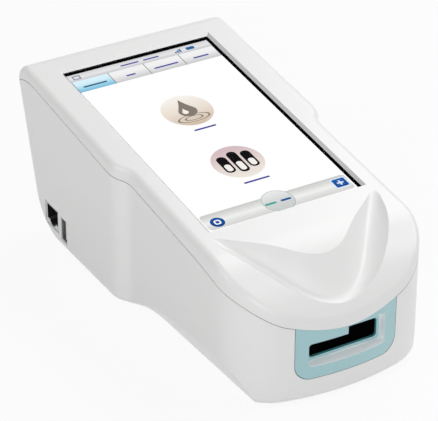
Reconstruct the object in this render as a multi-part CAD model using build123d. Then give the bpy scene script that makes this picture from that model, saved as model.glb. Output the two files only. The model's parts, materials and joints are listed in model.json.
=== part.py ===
"""Compact bench-top electrolyte analyzer.

Frame: +Z up, the front with the cartridge slot faces -Y, +X to the right seen from the front.
The origin lies midway between front and rear, under the middle of the body, on the surface that the feet
stand on. All sizes are in millimetres.
"""
import os
from math import asin, atan, cos, degrees, pi, radians, sin, sqrt, tan

from build123d import *

# Body in plan
REAR_HALF = 61.5
FRONT_HALF = 56.0
BODY_FRONT = -117.5
BODY_REAR = 117.5
WAIST_REAR = 14.0
WAIST_FRONT = -3.0
NOSE_ARC = 140.0
NOSE_CORNER = 31.0

# Body in side view
FOOT_HEIGHT = 1.0
TOP_SLOPE = 5.92
TOP_HEIGHT = 83.2
TOP_BEND_Y = -77.7
NOSE_EDGE_Z = 0.543 * TOP_HEIGHT
REAR_TOP_RADIUS = 9.0
REAR_LEAN = 15.0
BASE_BEND = 28.0
EDGE_RADIUS = 4.0
WALL = 2.6

# Parting line in side view
PART_FRONT_Y = -65.0
PART_FRONT_Z = 0.792 * TOP_HEIGHT
PART_SLOPE = 7.1
PART_REAR_Y = 96.0
PART_REAR_BEND = 35.0
PART_BLEND_Y = -96.0
PART_BLEND_Z = 0.7043 * TOP_HEIGHT
PART_NOSE_Z = 0.4615 * TOP_HEIGHT
PART_GAP = 0.3
LIP_DEPTH = 2.2
LIP_THICK = 1.3
LIP_ROOT = 3.0
LIP_FIT = 0.15

# Undercut along the lower front flanks
UNDERCUT_TOES = ((14.0, 61.2, 25.0), (-5.0, 48.9, 34.0), (-24.0, 47.4, 58.0), (-128.0, 44.0, 64.0))
UNDERCUT_REACH = 30.0

# Plateau in front of the screen, and the bowl scooped out round it
PLATEAU_TIP_Y = -95.0
PLATEAU_RADIUS = 32.0
PLATEAU_ARM_ANGLE = 34.0
PLATEAU_SLOPE = 55.0
BOWL_TIP_Y = -108.4
BOWL_RADIUS = 9.5
BOWL_ARM_ANGLE = 80.0
BOWL_DRAFT = 48.0
BOWL_VALLEY = 4.0
BOWL_ARM_LENGTH = 40.0

# Screen
SCREEN_Y = 19.0
SCREEN_WIDTH = 85.9
SCREEN_LENGTH = 154.2
SCREEN_DEPTH = 1.7
WINDOW_MARGIN = 1.1
WINDOW_BEVEL = 1.6
GLASS_THICK = 1.1
GLASS_OVERLAP = 2.2
GLASS_FIT = 0.3
GASKET_THICK = 0.3
GASKET_SETBACK = 1.0
PANEL_BORDER_SIDE = 5.5
PANEL_BORDER_END = 4.5
PANEL_THICK = 5.0
BRACKET_THICK = 1.2
BRACKET_RIM = 9.0
DISPLAY_BOSS_X = 38.0
DISPLAY_BOSS_MARGIN = 4.4

# Front bezel and cartridge slot, hung from the nose end of the parting line
BEZEL_HALF = 28.9
BEZEL_BOTTOM = PART_NOSE_Z - 24.8
BEZEL_CORNER = 9.0
BEZEL_FIT = 0.25
BEZEL_NOTCH = 40.0
FUNNEL_DEPTH = 5.5
FUNNEL_WALL = 2.5
FUNNEL_RIM = 1.5
MOUTH_HALF = 22.4
MOUTH_BOTTOM = PART_NOSE_Z - 18.5
MOUTH_LOW_TOP = PART_NOSE_Z - 4.3
MOUTH_TALL_TOP = PART_NOSE_Z + 1.2
MOUTH_STEP_X = -0.6
SLOT_HALF = 19.4
SLOT_BOTTOM = PART_NOSE_Z - 15.4
SLOT_LOW_TOP = PART_NOSE_Z - 7.2
SLOT_TALL_TOP = PART_NOSE_Z - 4.6
SLOT_STEP_X = 2.0
SLOT_CORNER = 1.8
SLOT_RIM = 1.6
BEZEL_TOP = MOUTH_TALL_TOP + 1.9

# Screws
SCREW_D = 3.0
SCREW_HEAD_D = 5.4
SCREW_HEAD_H = 1.9
SCREW_CLEAR = 0.2
RECESS_WIDTH = 0.7
RECESS_LENGTH = 3.0
RECESS_DEPTH = 0.8
PILOT_D = 2.6
PILOT_DEPTH = 4.5
BOSS_D = 7.0

# Cartridge guide and its shutter
GUIDE_GAP = 0.4
GUIDE_WALL = 1.8
GUIDE_REAR = -46.0
GUIDE_TOP = SLOT_TALL_TOP + 1.5
CHANNEL_GAP = 0.3
SHUTTER_THICK = 1.2
SHUTTER_OVERLAP = 1.4
SHUTTER_GAP = 0.6
SHUTTER_TIP_GAP = 1.2
SHUTTER_PIN_D = 1.6
SHUTTER_PIN_FIT = 0.12
SHUTTER_PIN_Z = SLOT_TALL_TOP + 3.2
SHUTTER_KNUCKLE_D = 3.4
SHUTTER_KNUCKLE_LENGTH = 8.0
SHUTTER_HALF = SLOT_HALF + SHUTTER_OVERLAP
SHUTTER_BOTTOM = SLOT_BOTTOM - SHUTTER_OVERLAP
CHAMBER_HALF = SHUTTER_HALF + SHUTTER_GAP
CHAMBER_FLOOR = SHUTTER_BOTTOM - SHUTTER_TIP_GAP
CHAMBER_TOP = SHUTTER_PIN_Z + 2.4
GUIDE_HALF = CHAMBER_HALF + GUIDE_WALL
SWITCH_X = 13.0
SWITCH_WIDTH = 8.0
SWITCH_Z = SLOT_BOTTOM + 1.0
SWITCH_HEIGHT = 6.0
SWITCH_LENGTH = 7.2
SWITCH_SETBACK = 4.0

# Contact head and heater
DRIVE_X = -7.5
HEAD_Y = -65.0
HEAD_HALF = 7.6
HEAD_LENGTH = 22.0
HEAD_GAP = 0.25
HEAD_TRAVEL = 3.0
HEAD_BOTTOM = SLOT_LOW_TOP + HEAD_TRAVEL + 0.6
HEAD_FRONT = HEAD_Y - HEAD_LENGTH / 2
HEAD_REAR = HEAD_Y + HEAD_LENGTH / 2
CONTACT_D = 0.9
CONTACT_LENGTH = 2.4
CONTACT_ROOT = 5.0
CONTACT_PITCH = 4.0
CONTACT_ROW = 2.5
HEATER_THICK = 3.9
HEATER_TOP = SLOT_BOTTOM - 0.5
HEATER_EDGE = 0.5

# Lead screw, gears and motor
SCREW_AXIS_Z = CHAMBER_TOP + 8.0
LEAD_SCREW_D = 5.0
RUNNING_FIT = 0.08
COLLAR_D = 7.4
COLLAR_THICK = 1.2
COLLAR_GAP = 1.5
MODULE = 0.6
PRESSURE_ANGLE = 20.0
GEAR_TEETH = 32
PINION_TEETH = 16
GEAR_BACKLASH = 0.16
GEAR_WIDTH = 4.5
GEAR_GAP = 1.0
CENTRE_CLEARANCE = 0.1
HUB_D = 9.0
HUB_LENGTH = 2.0
WEB_HOLES = 5
WEB_HOLE_D = 2.6
WEB_RING_D = 12.2
ROD_D = 3.0
ROD_OFFSET = 8.6
ROD_FIT = 0.1
MOTOR_D = 19.0
MOTOR_LENGTH = 18.0
MOTOR_BOSS_D = 6.8
MOTOR_SHAFT_D = 2.0
MOTOR_SCREW_D = 1.7
MOTOR_SCREW_HEAD_D = 2.8
MOTOR_SCREW_OFFSET = 7.0
BUSH_D = 8.0
BUSH_FLANGE_D = 9.4
BUSH_FLANGE_THICK = 1.2

# Carriage with its cam plates
CARRIAGE_TRAVEL = 18.0
CARRIAGE_FRONT = HEAD_Y - 4.0
CARRIAGE_LENGTH = 30.0
CARRIAGE_REAR = CARRIAGE_FRONT + CARRIAGE_LENGTH
CARRIAGE_PLATE = 2.0
CARRIAGE_BOTTOM = GUIDE_TOP + 0.7
NUT_BOTTOM = SCREW_AXIS_Z - 4.2
CARRIAGE_TOP = SCREW_AXIS_Z + LEAD_SCREW_D
BRIDGE_THICK = 1.8
RUNNER_WIDTH = 5.2
RUNNER_LENGTH = 6.0
NUT_LENGTH = 9.0
CAM_PIN_D = 2.4
CAM_CLEAR = 0.3
CAM_GAP = 1.2
CAM_END = 0.5
HEAD_TOP = NUT_BOTTOM
CAM_PIN_Z = HEAD_TOP - CAM_PIN_D / 2 - 0.4

# Chassis, a folded metal frame
SHEET = 1.5
CHASSIS_HALF = GUIDE_HALF + 4.2
CHASSIS_FRONT = -104.0
CHASSIS_Z = SLOT_BOTTOM - 11.0
CHASSIS_TOP = CARRIAGE_TOP + SHEET / 2
REAR_BULKHEAD_Y = CARRIAGE_REAR + MOTOR_LENGTH + 1.0
FRONT_BULKHEAD_Y = CARRIAGE_FRONT - CARRIAGE_TRAVEL - 4.0
CHEEK_RIM = 8.0
CHEEK_END = 12.0
EAR_X = CHASSIS_HALF + 4.5
EAR_FRONT_Y = FRONT_BULKHEAD_Y - 4.0
EAR_REAR_Y = REAR_BULKHEAD_Y - 6.0
EAR_SIZE = 10.0

# Battery and its door
BATTERY_LENGTH = 70.0
BATTERY_WIDTH = 39.0
BATTERY_HEIGHT = 20.0
BATTERY_Y = 14.0
DOOR_THICK = 2.0
DOOR_FIT = 0.3
DOOR_RIM = 6.6
DOOR_BED = 2.4
DOOR_SCREW_MARGIN = 3.4
DOOR_SCREW_SINK = 1.2

# Control board and its sockets
BOARD_LEFT = -REAR_HALF + WALL + 1.9
BOARD_RIGHT = 8.0
BOARD_FRONT = 40.0
BOARD_REAR = 85.4
BOARD_Z = 6.8
BOARD_THICK = 1.6
BOARD_PARTS = (
    (33.0, 10.0, 16.0, 16.0, 1.8),
    (35.0, 30.0, 10.0, 6.0, 1.4),
    (50.0, 14.0, 7.0, 12.0, 5.0),
    (5.0, 2.0, 12.0, 6.0, 2.4),
    (7.0, 10.0, 14.0, 5.0, 6.0),
)
SOCKET_FIT = 0.3
ETHERNET_WIDTH = 15.8
ETHERNET_HEIGHT = 13.5
ETHERNET_DEPTH = 18.0
ETHERNET_Y = 80.9
PLUG_DEPTH = 12.5
PLUG_STEPS = ((6.1, 3.2, 12.2), (3.2, 1.8, 3.3), (2.0, 0.8, 1.9))
USB_WIDTH = 7.0
USB_HEIGHT = 14.2
USB_DEPTH = 15.0
USB_Y = 67.1
USB_SINK = 2.2
USB_METAL = 0.7
USB_HOLLOW = 11.0
USB_TONGUE = 2.0
USB_TONGUE_GAP = 0.8
SOCKET_SETBACK = 0.4

# Rear wall fittings
POWER_Z = 46.0
BUTTON_X = 30.0
INLET_X = -20.0
BARREL_D = 12.0
FLANGE_D = 15.0
FLANGE_THICK = 1.6
BARREL_LENGTH = 14.0
NUT_ACROSS = 16.0
NUT_THICK = 3.0
BUTTON_D = 9.6
BUTTON_GAP = 0.3
BUTTON_TRAVEL = 1.5
INLET_BORE_D = 6.2
INLET_PIN_D = 2.0

# Speaker and feet
SPEAKER_D = 28.0
SPEAKER_THICK = 5.0
SPEAKER_X = REAR_HALF - 27.5
SPEAKER_Y = 57.0
MAGNET_D = 15.4
MAGNET_THICK = 2.5
GRILLE_SLOTS = 5
GRILLE_PITCH = 4.4
GRILLE_WIDTH = 1.8
GRILLE_LENGTH = 16.0
FOOT_D = 12.0
FOOT_SINK = 0.8

# Places of the screws that join the shells, and of the feet
CASE_FRONT = (FRONT_HALF - 15.5, -88.0)
CASE_REAR = (REAR_HALF - 8.5, 30.0)
FOOT_FRONT = (FRONT_HALF - 26.0, -94.0)
FOOT_REAR = (REAR_HALF - 13.5, 62.0)
CASE_SCREW_LENGTH = 17.0
CHASSIS_SCREW_LENGTH = 7.0
SHORT_SCREW_LENGTH = 5.0
CASE_SEAT_DEPTH = 14.0

REACH = 200.0


# Outlines of the body

def top_z(y, drop=0.0):
    """Height of the sloping top plane at y, lowered square to itself by drop."""
    slope = radians(TOP_SLOPE)
    return TOP_HEIGHT + (y - SCREEN_Y) * tan(slope) - drop / cos(slope)


def nose_arc():
    """Middle and radius of the arc in side view that leaves the top plane and falls to the nose edge."""
    slope = radians(TOP_SLOPE)
    start_z = top_z(TOP_BEND_Y)
    run = BODY_FRONT - TOP_BEND_Y
    rise = NOSE_EDGE_Z - start_z
    radius = (run**2 + rise**2) / 2 / (run * sin(slope) - rise * cos(slope))
    return TOP_BEND_Y + radius * sin(slope), start_z - radius * cos(slope), radius


def nose_top(y):
    """Height of the nose arc at y."""
    middle_y, middle_z, radius = nose_arc()
    return middle_z + sqrt(radius**2 - (y - middle_y)**2)


def plan_face(inset=0.0):
    """Plan outline of the body, set in by a wall: wide rear, waisted sides, bowed nose."""
    step = REAR_HALF - FRONT_HALF
    run = WAIST_REAR - WAIST_FRONT
    bend = (run**2 + step**2) / (4 * step)
    turn = asin(run / 2 / bend)
    waist = (REAR_HALF - bend + (bend - inset) * cos(turn), WAIST_REAR - (bend - inset) * sin(turn))
    corner_x = FRONT_HALF - NOSE_CORNER
    corner_y = BODY_FRONT + NOSE_ARC - sqrt((NOSE_ARC - NOSE_CORNER)**2 - corner_x**2)
    swing = asin(corner_x / (NOSE_ARC - NOSE_CORNER))
    nose = NOSE_ARC - inset
    shoulder = (nose * sin(swing), BODY_FRONT + NOSE_ARC - nose * cos(swing))
    with BuildSketch() as sketch:
        with BuildLine():
            rear = Line((0, BODY_REAR + EDGE_RADIUS), (REAR_HALF - inset, BODY_REAR + EDGE_RADIUS))
            side = Line(rear @ 1, (REAR_HALF - inset, WAIST_REAR))
            outer = TangentArc(side @ 1, waist, tangent=(0, -1))
            inner = TangentArc(outer @ 1, (FRONT_HALF - inset, WAIST_FRONT), tangent=outer % 1)
            flank = Line(inner @ 1, (FRONT_HALF - inset, corner_y))
            corner = TangentArc(flank @ 1, shoulder, tangent=(0, -1))
            TangentArc(corner @ 1, (0, BODY_FRONT + inset), tangent=corner % 1)
            mirror(about=Plane.YZ)
        make_face()
    return sketch.sketch


def side_face(inset=0.0):
    """Side outline of the body, set in by a wall: base, leaning rear, sloping top, drooping nose."""
    slope = radians(TOP_SLOPE)
    lean = radians(REAR_LEAN)
    base = FOOT_HEIGHT + inset
    rear_y = BODY_REAR - REAR_TOP_RADIUS
    rear_z = top_z(rear_y, REAR_TOP_RADIUS)
    crown = REAR_TOP_RADIUS - inset
    crown_start = (rear_y - crown * sin(slope), rear_z + crown * cos(slope))
    crown_end = (rear_y + crown * cos(lean), rear_z - crown * sin(lean))
    heel = BASE_BEND - inset
    heel_z = FOOT_HEIGHT + BASE_BEND
    heel_y = rear_y + (REAR_TOP_RADIUS - BASE_BEND) / cos(lean) - (rear_z - heel_z) * tan(lean)
    heel_end = (heel_y + heel * cos(lean), heel_z - heel * sin(lean))
    nose_y, nose_z, nose_radius = nose_arc()
    bend = nose_radius - inset
    nose_start = (nose_y - bend * sin(slope), nose_z + bend * cos(slope))
    nose_end = (nose_y - bend * cos(slope / 2), nose_z + bend * sin(slope / 2))
    with BuildSketch(Plane.YZ) as sketch:
        with BuildLine():
            floor = Line((BODY_FRONT - EDGE_RADIUS, base), (heel_y, base))
            turn = TangentArc(floor @ 1, heel_end, tangent=(1, 0))
            wall = Line(turn @ 1, crown_end)
            crown_arc = TangentArc(wall @ 1, crown_start, tangent=wall % 1)
            top = Line(crown_arc @ 1, nose_start)
            nose = TangentArc(top @ 1, nose_end, tangent=top % 1)
            Polyline(nose @ 1, (BODY_FRONT - EDGE_RADIUS, nose_end[1]), floor @ 0)
        make_face()
    return sketch.sketch


def below_parting(raise_by=0.0):
    """Everything under the parting surface, which is a side outline run across the body."""
    slope = radians(PART_SLOPE)
    rise = (PART_REAR_Y - PART_FRONT_Y) * tan(slope)
    knee = (PART_REAR_Y, PART_FRONT_Z + rise + raise_by)
    bend_y = PART_REAR_Y + PART_REAR_BEND * sin(slope)
    bend_z = knee[1] - PART_REAR_BEND * cos(slope)
    swing = radians(40)
    rear = (bend_y + PART_REAR_BEND * sin(swing), bend_z + PART_REAR_BEND * cos(swing))
    with BuildSketch(Plane.YZ) as sketch:
        with BuildLine():
            line = Line(knee, (PART_FRONT_Y, PART_FRONT_Z + raise_by))
            blend = TangentArc(line @ 1, (PART_BLEND_Y, PART_BLEND_Z + raise_by), tangent=line % 1)
            nose = TangentArc(blend @ 1, (BODY_FRONT, PART_NOSE_Z + raise_by), tangent=blend % 1)
            tip = Line(nose @ 1, nose @ 1 + (nose % 1) * 8)
            hook = TangentArc(line @ 0, rear, tangent=(line % 0) * -1)
            Polyline(tip @ 1, ((tip @ 1).X, -10), ((hook @ 1).X, -10), hook @ 1)
        make_face()
    return extrude(sketch.sketch, REACH / 2, both=True)


def body_solid():
    """Outer shape of the whole body, with its edges rounded."""
    body = extrude(plan_face(), REACH) & extrude(side_face(), REACH / 2, both=True)
    edges = [e for e in body.edges() if not is_seam(e)]
    return fillet(edges, EDGE_RADIUS)


def is_seam(edge):
    """True for the upright and crosswise edges, where neighbouring faces run on smoothly."""
    along = (edge @ 1) - (edge @ 0)
    straight = edge.geom_type == GeomType.LINE
    upright = abs(along.X) < 0.01 and abs(along.Y) < 0.01
    across = abs(along.Y) < 0.01 and abs(along.Z) < 0.01
    return straight and (upright or across)


def inner_solid(inset=WALL):
    """Room inside the body, set in by a wall."""
    return extrude(plan_face(inset), REACH) & extrude(side_face(inset), REACH / 2, both=True)


def undercut(inset=0.0):
    """Wedges cut from the lower front flanks, growing from nothing at the waist."""
    sections = []
    for y, half, slope in UNDERCUT_TOES:
        rise = tan(radians(slope))
        toe = half - inset / sin(radians(slope)) - 2 / rise
        outer = toe + UNDERCUT_REACH
        low = FOOT_HEIGHT - 2
        corners = [Vector(toe, y, low), Vector(outer, y, low), Vector(outer, y, low + UNDERCUT_REACH * rise)]
        sections.append(Wire.make_polygon(corners))
    wedge = Part(Solid.make_loft(sections, True).wrapped)
    return wedge + mirror(wedge, about=Plane.YZ)


def pointed(radius, tip_y, arm_angle, length, z):
    """Outline at a height: a round tip toward the front, with straight arms running back."""
    arm = radians(arm_angle)
    touch = (radius * sin(arm), tip_y + radius - radius * cos(arm))
    end = (touch[0] + length * cos(arm), touch[1] + length * sin(arm))
    with BuildSketch(Plane.XY.offset(z)) as sketch:
        with BuildLine():
            bow = ThreePointArc((-touch[0], touch[1]), (0, tip_y), touch)
            Polyline(bow @ 1, end, (-end[0], end[1]), bow @ 0)
        make_face()
    return sketch.sketch


def scoop(inset=0.0):
    """Crescent dish: a bowl with sloping sides less the plateau, and a rounded valley between them."""
    draft = radians(BOWL_DRAFT)
    grow = inset * (1 - sin(draft)) / cos(draft)
    level = NOSE_EDGE_Z - inset
    outline = pointed(BOWL_RADIUS + grow, BOWL_TIP_Y - grow, BOWL_ARM_ANGLE, BOWL_ARM_LENGTH, level)
    height = TOP_HEIGHT - level
    bowl = extrude(outline, height, taper=-BOWL_DRAFT)
    slope = radians(PLATEAU_SLOPE)
    foot = level - 6
    spread = (nose_top(PLATEAU_TIP_Y) - foot) / tan(slope) - inset / sin(slope)
    outline = pointed(PLATEAU_RADIUS + spread, PLATEAU_TIP_Y - spread, PLATEAU_ARM_ANGLE, 1.5 * REACH, foot)
    plateau = extrude(outline, height + 8, taper=90 - PLATEAU_SLOPE)
    dish = bowl - plateau
    shared = [e for e in dish.edges() if lies_on(e, bowl) and lies_on(e, plateau)]
    return fillet([e for e in shared if (e @ 0.5).Z < TOP_HEIGHT - 1], BOWL_VALLEY)


def lies_on(edge, solid):
    """True for an edge that runs on the surface of a solid."""
    return min(face.distance_to(edge @ 0.5) for face in solid.faces()) < 0.01


# Small builders used by many pieces

def block(x, y, z):
    """Box between the two limits given for each direction."""
    box = Box(x[1] - x[0], y[1] - y[0], z[1] - z[0], align=(Align.MIN, Align.MIN, Align.MIN))
    return Pos(x[0], y[0], z[0]) * box


def about(middle, width):
    """Limits of a width laid evenly about a middle."""
    return (middle - width / 2, middle + width / 2)


def pin_z(x, y, low, high, diameter):
    """Upright cylinder between two heights."""
    return Pos(x, y, (low + high) / 2) * Cylinder(diameter / 2, high - low)


def pin_x(y, z, left, right, diameter):
    """Cylinder lying across, between two places in x."""
    return Pos((left + right) / 2, y, z) * Rot(0, 90, 0) * Cylinder(diameter / 2, right - left)


def pin_y(x, z, front, rear, diameter):
    """Cylinder lying lengthwise, between two places in y."""
    return Pos(x, (front + rear) / 2, z) * Rot(90, 0, 0) * Cylinder(diameter / 2, rear - front)


def recess():
    """Cross recess of a screw head, sunk from the origin."""
    slot = Box(RECESS_WIDTH, RECESS_LENGTH, 2 * RECESS_DEPTH)
    return slot + Rot(0, 0, 90) * slot


def screw(length):
    """Pan-head screw along -Z, with the seat of its head at the origin."""
    head = Pos(0, 0, SCREW_HEAD_H / 2) * Cylinder(SCREW_HEAD_D / 2, SCREW_HEAD_H)
    head = fillet(head.edges().sort_by(Axis.Z)[-1], SCREW_HEAD_H * 0.4)
    return head + Pos(0, 0, -length / 2) * Cylinder(PILOT_D / 2, length) - Pos(0, 0, SCREW_HEAD_H) * recess()


def screw_up(length):
    """The same screw driven upward."""
    return Rot(180, 0, 0) * screw(length)


def both_sides(place):
    """The same place on the right and on the left."""
    return [place, (-place[0], place[1])]


def joined(pieces):
    """Separate solids of one kind, kept together."""
    return Compound(children=[solid for piece in pieces for solid in piece.solids()])


SCREEN_PLANE = Plane(
    origin=(0, SCREEN_Y, TOP_HEIGHT),
    x_dir=(1, 0, 0),
    z_dir=(0, -sin(radians(TOP_SLOPE)), cos(radians(TOP_SLOPE))),
)
SCREEN_AXIS = Axis(SCREEN_PLANE.origin, SCREEN_PLANE.z_dir)


def on_screen(width, length, top, thick):
    """Plate parallel to the top plane, its upper face a given depth under it."""
    return SCREEN_PLANE * Pos(0, 0, -top - thick / 2) * Box(width, length, thick)


GLASS_TOP = SCREEN_DEPTH
GLASS_UNDER = GLASS_TOP + GLASS_THICK
PANEL_UNDER = GLASS_UNDER + PANEL_THICK
WINDOW_WIDTH = SCREEN_WIDTH + 2 * WINDOW_MARGIN
WINDOW_LENGTH = SCREEN_LENGTH + 2 * WINDOW_MARGIN
GLASS_WIDTH = WINDOW_WIDTH + 2 * GLASS_OVERLAP
GLASS_LENGTH = WINDOW_LENGTH + 2 * GLASS_OVERLAP
PANEL_WIDTH = SCREEN_WIDTH + 2 * PANEL_BORDER_SIDE
PANEL_LENGTH = SCREEN_LENGTH + 2 * PANEL_BORDER_END
DISPLAY_BOSS_Y = PANEL_LENGTH / 2 + DISPLAY_BOSS_MARGIN
DISPLAY_PLACES = both_sides((DISPLAY_BOSS_X, -DISPLAY_BOSS_Y)) + both_sides((DISPLAY_BOSS_X, DISPLAY_BOSS_Y))
CASE_PLACES = both_sides(CASE_FRONT) + both_sides(CASE_REAR)
FOOT_PLACES = both_sides(FOOT_FRONT) + both_sides(FOOT_REAR)
EAR_PLACES = both_sides((EAR_X, EAR_FRONT_Y)) + both_sides((EAR_X, EAR_REAR_Y))
BOARD_HOLE_X = (BOARD_LEFT + 24, BOARD_RIGHT - 4)
BOARD_HOLE_Y = (BOARD_FRONT + 4, BOARD_REAR - 8)
BOARD_PLACES = [(x, y) for x in BOARD_HOLE_X for y in BOARD_HOLE_Y]
DOOR_SCREW_X = about(0, BATTERY_LENGTH + 2 * DOOR_SCREW_MARGIN)
MOTOR_SCREW_X = about(DRIVE_X, 2 * MOTOR_SCREW_OFFSET)
ROD_X = about(DRIVE_X, 2 * ROD_OFFSET)
SOCKET_LEFT = -REAR_HALF + SOCKET_SETBACK
FLOOR_Z = FOOT_HEIGHT + WALL


def part_z(y):
    """Height of the straight stretch of the parting line at y."""
    return PART_FRONT_Z + (y - PART_FRONT_Y) * tan(radians(PART_SLOPE))


def case_seat(y):
    """Height at which the head of a case screw seats."""
    return part_z(y) - CASE_SEAT_DEPTH


# Fittings in the leaning rear wall

REAR_WALL_TOP_Y = BODY_REAR - REAR_TOP_RADIUS
REAR_WALL_TOP_Z = top_z(REAR_WALL_TOP_Y, REAR_TOP_RADIUS)


def rear_plane(x):
    """Plane on the outside of the rear wall, its normal pointing out."""
    lean = radians(REAR_LEAN)
    y = REAR_WALL_TOP_Y + REAR_TOP_RADIUS / cos(lean) - (REAR_WALL_TOP_Z - POWER_Z) * tan(lean)
    return Plane(origin=(x, y, POWER_Z), x_dir=(-1, 0, 0), z_dir=(0, cos(lean), -sin(lean)))


def tube(outer, inner, low, high):
    """Ring along Z between two heights."""
    ring = Cylinder(outer / 2, high - low) - Cylinder(inner / 2, high - low)
    return Pos(0, 0, (low + high) / 2) * ring


# Shells

def lower_housing(body):
    """Moulded tub with its bosses, socket windows, battery bay and screw pillars."""
    shell = body & below_parting()
    shell -= undercut()
    room = inner_solid() - undercut(WALL)
    shell -= room
    pillars = Part()
    for x, y in CASE_PLACES:
        pillars += pin_z(x, y, FOOT_HEIGHT + 1, part_z(y) - LIP_DEPTH, BOSS_D + 2)
    for x, y in EAR_PLACES:
        pillars += pin_z(x, y, FOOT_HEIGHT + 1, CHASSIS_Z, BOSS_D)
    for x, y in BOARD_PLACES:
        pillars += pin_z(x, y, FOOT_HEIGHT + 1, BOARD_Z, BOSS_D - 1)
    shell += pillars & ((body & below_parting()) - undercut(1.0))
    for x, y in CASE_PLACES:
        shell -= pin_z(x, y, FOOT_HEIGHT - 1, case_seat(y), SCREW_HEAD_D + 2 * SCREW_CLEAR)
        shell -= pin_z(x, y, FOOT_HEIGHT, part_z(y), SCREW_D + 2 * SCREW_CLEAR)
    for x, y in EAR_PLACES:
        shell -= pin_z(x, y, CHASSIS_Z + SHEET - CHASSIS_SCREW_LENGTH - 0.5, CHASSIS_Z, PILOT_D)
    for x, y in BOARD_PLACES:
        shell -= pin_z(x, y, BOARD_Z - PILOT_DEPTH, BOARD_Z, PILOT_D)
    for x, y in FOOT_PLACES:
        shell -= pin_z(x, y, FOOT_HEIGHT - 1, FOOT_HEIGHT + FOOT_SINK, FOOT_D + 0.2)
    front_wall = block(about(0, 2 * FRONT_HALF), about(BODY_FRONT, BEZEL_NOTCH), (0, TOP_HEIGHT))
    shell -= bezel_outline(BEZEL_FIT) & front_wall
    shell -= socket_window(ETHERNET_Y, ETHERNET_WIDTH, BOARD_Z + BOARD_THICK, ETHERNET_HEIGHT)
    shell -= socket_window(USB_Y, USB_WIDTH, BOARD_Z + BOARD_THICK - USB_SINK, USB_HEIGHT)
    for x in (BUTTON_X, INLET_X):
        shell -= rear_plane(x) * Cylinder(BARREL_D / 2 + 0.1, 12)
    rebate = FOOT_HEIGHT + DOOR_THICK
    shell += around_battery(DOOR_FIT + DOOR_RIM + 2, FLOOR_Z, rebate + DOOR_BED)
    shell -= around_battery(DOOR_FIT, 0, rebate + DOOR_BED + 1)
    shell -= around_battery(DOOR_FIT + DOOR_RIM, 0, rebate)
    for x in DOOR_SCREW_X:
        shell -= pin_z(x, BATTERY_Y, rebate - 1, rebate + DOOR_BED, PILOT_D)
    for turn in range(GRILLE_SLOTS):
        y = SPEAKER_Y + (turn - (GRILLE_SLOTS - 1) / 2) * GRILLE_PITCH
        shell -= block(about(SPEAKER_X, GRILLE_LENGTH), about(y, GRILLE_WIDTH), (0, FLOOR_Z + 1))
    return shell


def around_battery(grow, low, high):
    """Block over the plan of the battery, grown on all four sides."""
    width = about(0, BATTERY_LENGTH + 2 * grow)
    return block(width, about(BATTERY_Y, BATTERY_WIDTH + 2 * grow), (low, high))


def socket_window(y, width, low, height):
    """Opening in the left wall for a socket."""
    span = (low - SOCKET_FIT, low + height + SOCKET_FIT)
    return block((-REAR_HALF - 5, -REAR_HALF + WALL + 2), about(y, width + 2 * SOCKET_FIT), span)


def upper_cover(body):
    """Moulded cover with the screen window, the dished nose, its lip and its bosses."""
    shell = body - below_parting(PART_GAP) - scoop()
    room = inner_solid() - scoop(WALL)
    shell -= room
    hollow = inner_solid(WALL + LIP_FIT) & below_parting(PART_GAP + 0.1)
    shell += hollow & (scoop(WALL) - scoop())
    lip = wall_ring(WALL - 0.2) & (below_parting(PART_GAP + LIP_ROOT) - below_parting(PART_GAP))
    lip += wall_ring(WALL + LIP_FIT) & (below_parting(PART_GAP + 0.1) - below_parting(-LIP_DEPTH))
    lip -= block(about(0, 2 * BEZEL_HALF + 6), about(BODY_FRONT, BEZEL_NOTCH), (0, TOP_HEIGHT))
    shell += lip - scoop(WALL)
    bosses = Part()
    for x, y in CASE_PLACES:
        bosses += pin_z(x, y, part_z(y) - LIP_DEPTH, TOP_HEIGHT + 20, BOSS_D)
    for x, y in DISPLAY_PLACES:
        bosses += SCREEN_PLANE * Pos(x, y, -PANEL_UNDER / 2) * Cylinder(BOSS_D / 2 - 0.5, PANEL_UNDER)
    shell += bosses & (body - scoop())
    for x, y in CASE_PLACES:
        shell -= pin_z(x, y, 0, case_seat(y) + CASE_SCREW_LENGTH + 0.5, PILOT_D)
    for x, y in DISPLAY_PLACES:
        shell -= SCREEN_PLANE * Pos(x, y, -PANEL_UNDER) * Cylinder(PILOT_D / 2, 2 * PILOT_DEPTH)
    pocket = GLASS_TOP - GASKET_THICK
    shell -= on_screen(GLASS_WIDTH + 2 * GLASS_FIT, GLASS_LENGTH + 2 * GLASS_FIT, pocket, 6)
    bevel = SCREEN_PLANE * loft([
        Plane.XY.offset(-pocket - 0.01) * Rectangle(WINDOW_WIDTH, WINDOW_LENGTH),
        Plane.XY * Rectangle(WINDOW_WIDTH + 2 * WINDOW_BEVEL, WINDOW_LENGTH + 2 * WINDOW_BEVEL),
    ])
    return shell - bevel


def wall_ring(inset):
    """Upright ring that follows the walls in plan, its outer face set in from the outside of the body."""
    inner = WALL + LIP_FIT + LIP_THICK
    ring = extrude(plan_face(inset) - plan_face(inner), REACH)
    return ring & extrude(side_face(inset), REACH / 2, both=True)


# Front bezel with the stepped slot

def bezel_outline(grow=0.0):
    """Front outline of the bezel, rounded below, run rearward."""
    half = BEZEL_HALF + grow
    low = BEZEL_BOTTOM - grow
    with BuildSketch(Plane.XZ) as sketch:
        with BuildLine():
            Polyline((-half, 80), (-half, low), (half, low), (half, 80), close=True)
        make_face()
        fillet(sketch.vertices().sort_by(Axis.Y)[:2], BEZEL_CORNER)
    return Pos(0, BODY_FRONT - 10, 0) * extrude(sketch.sketch, -60)


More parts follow.
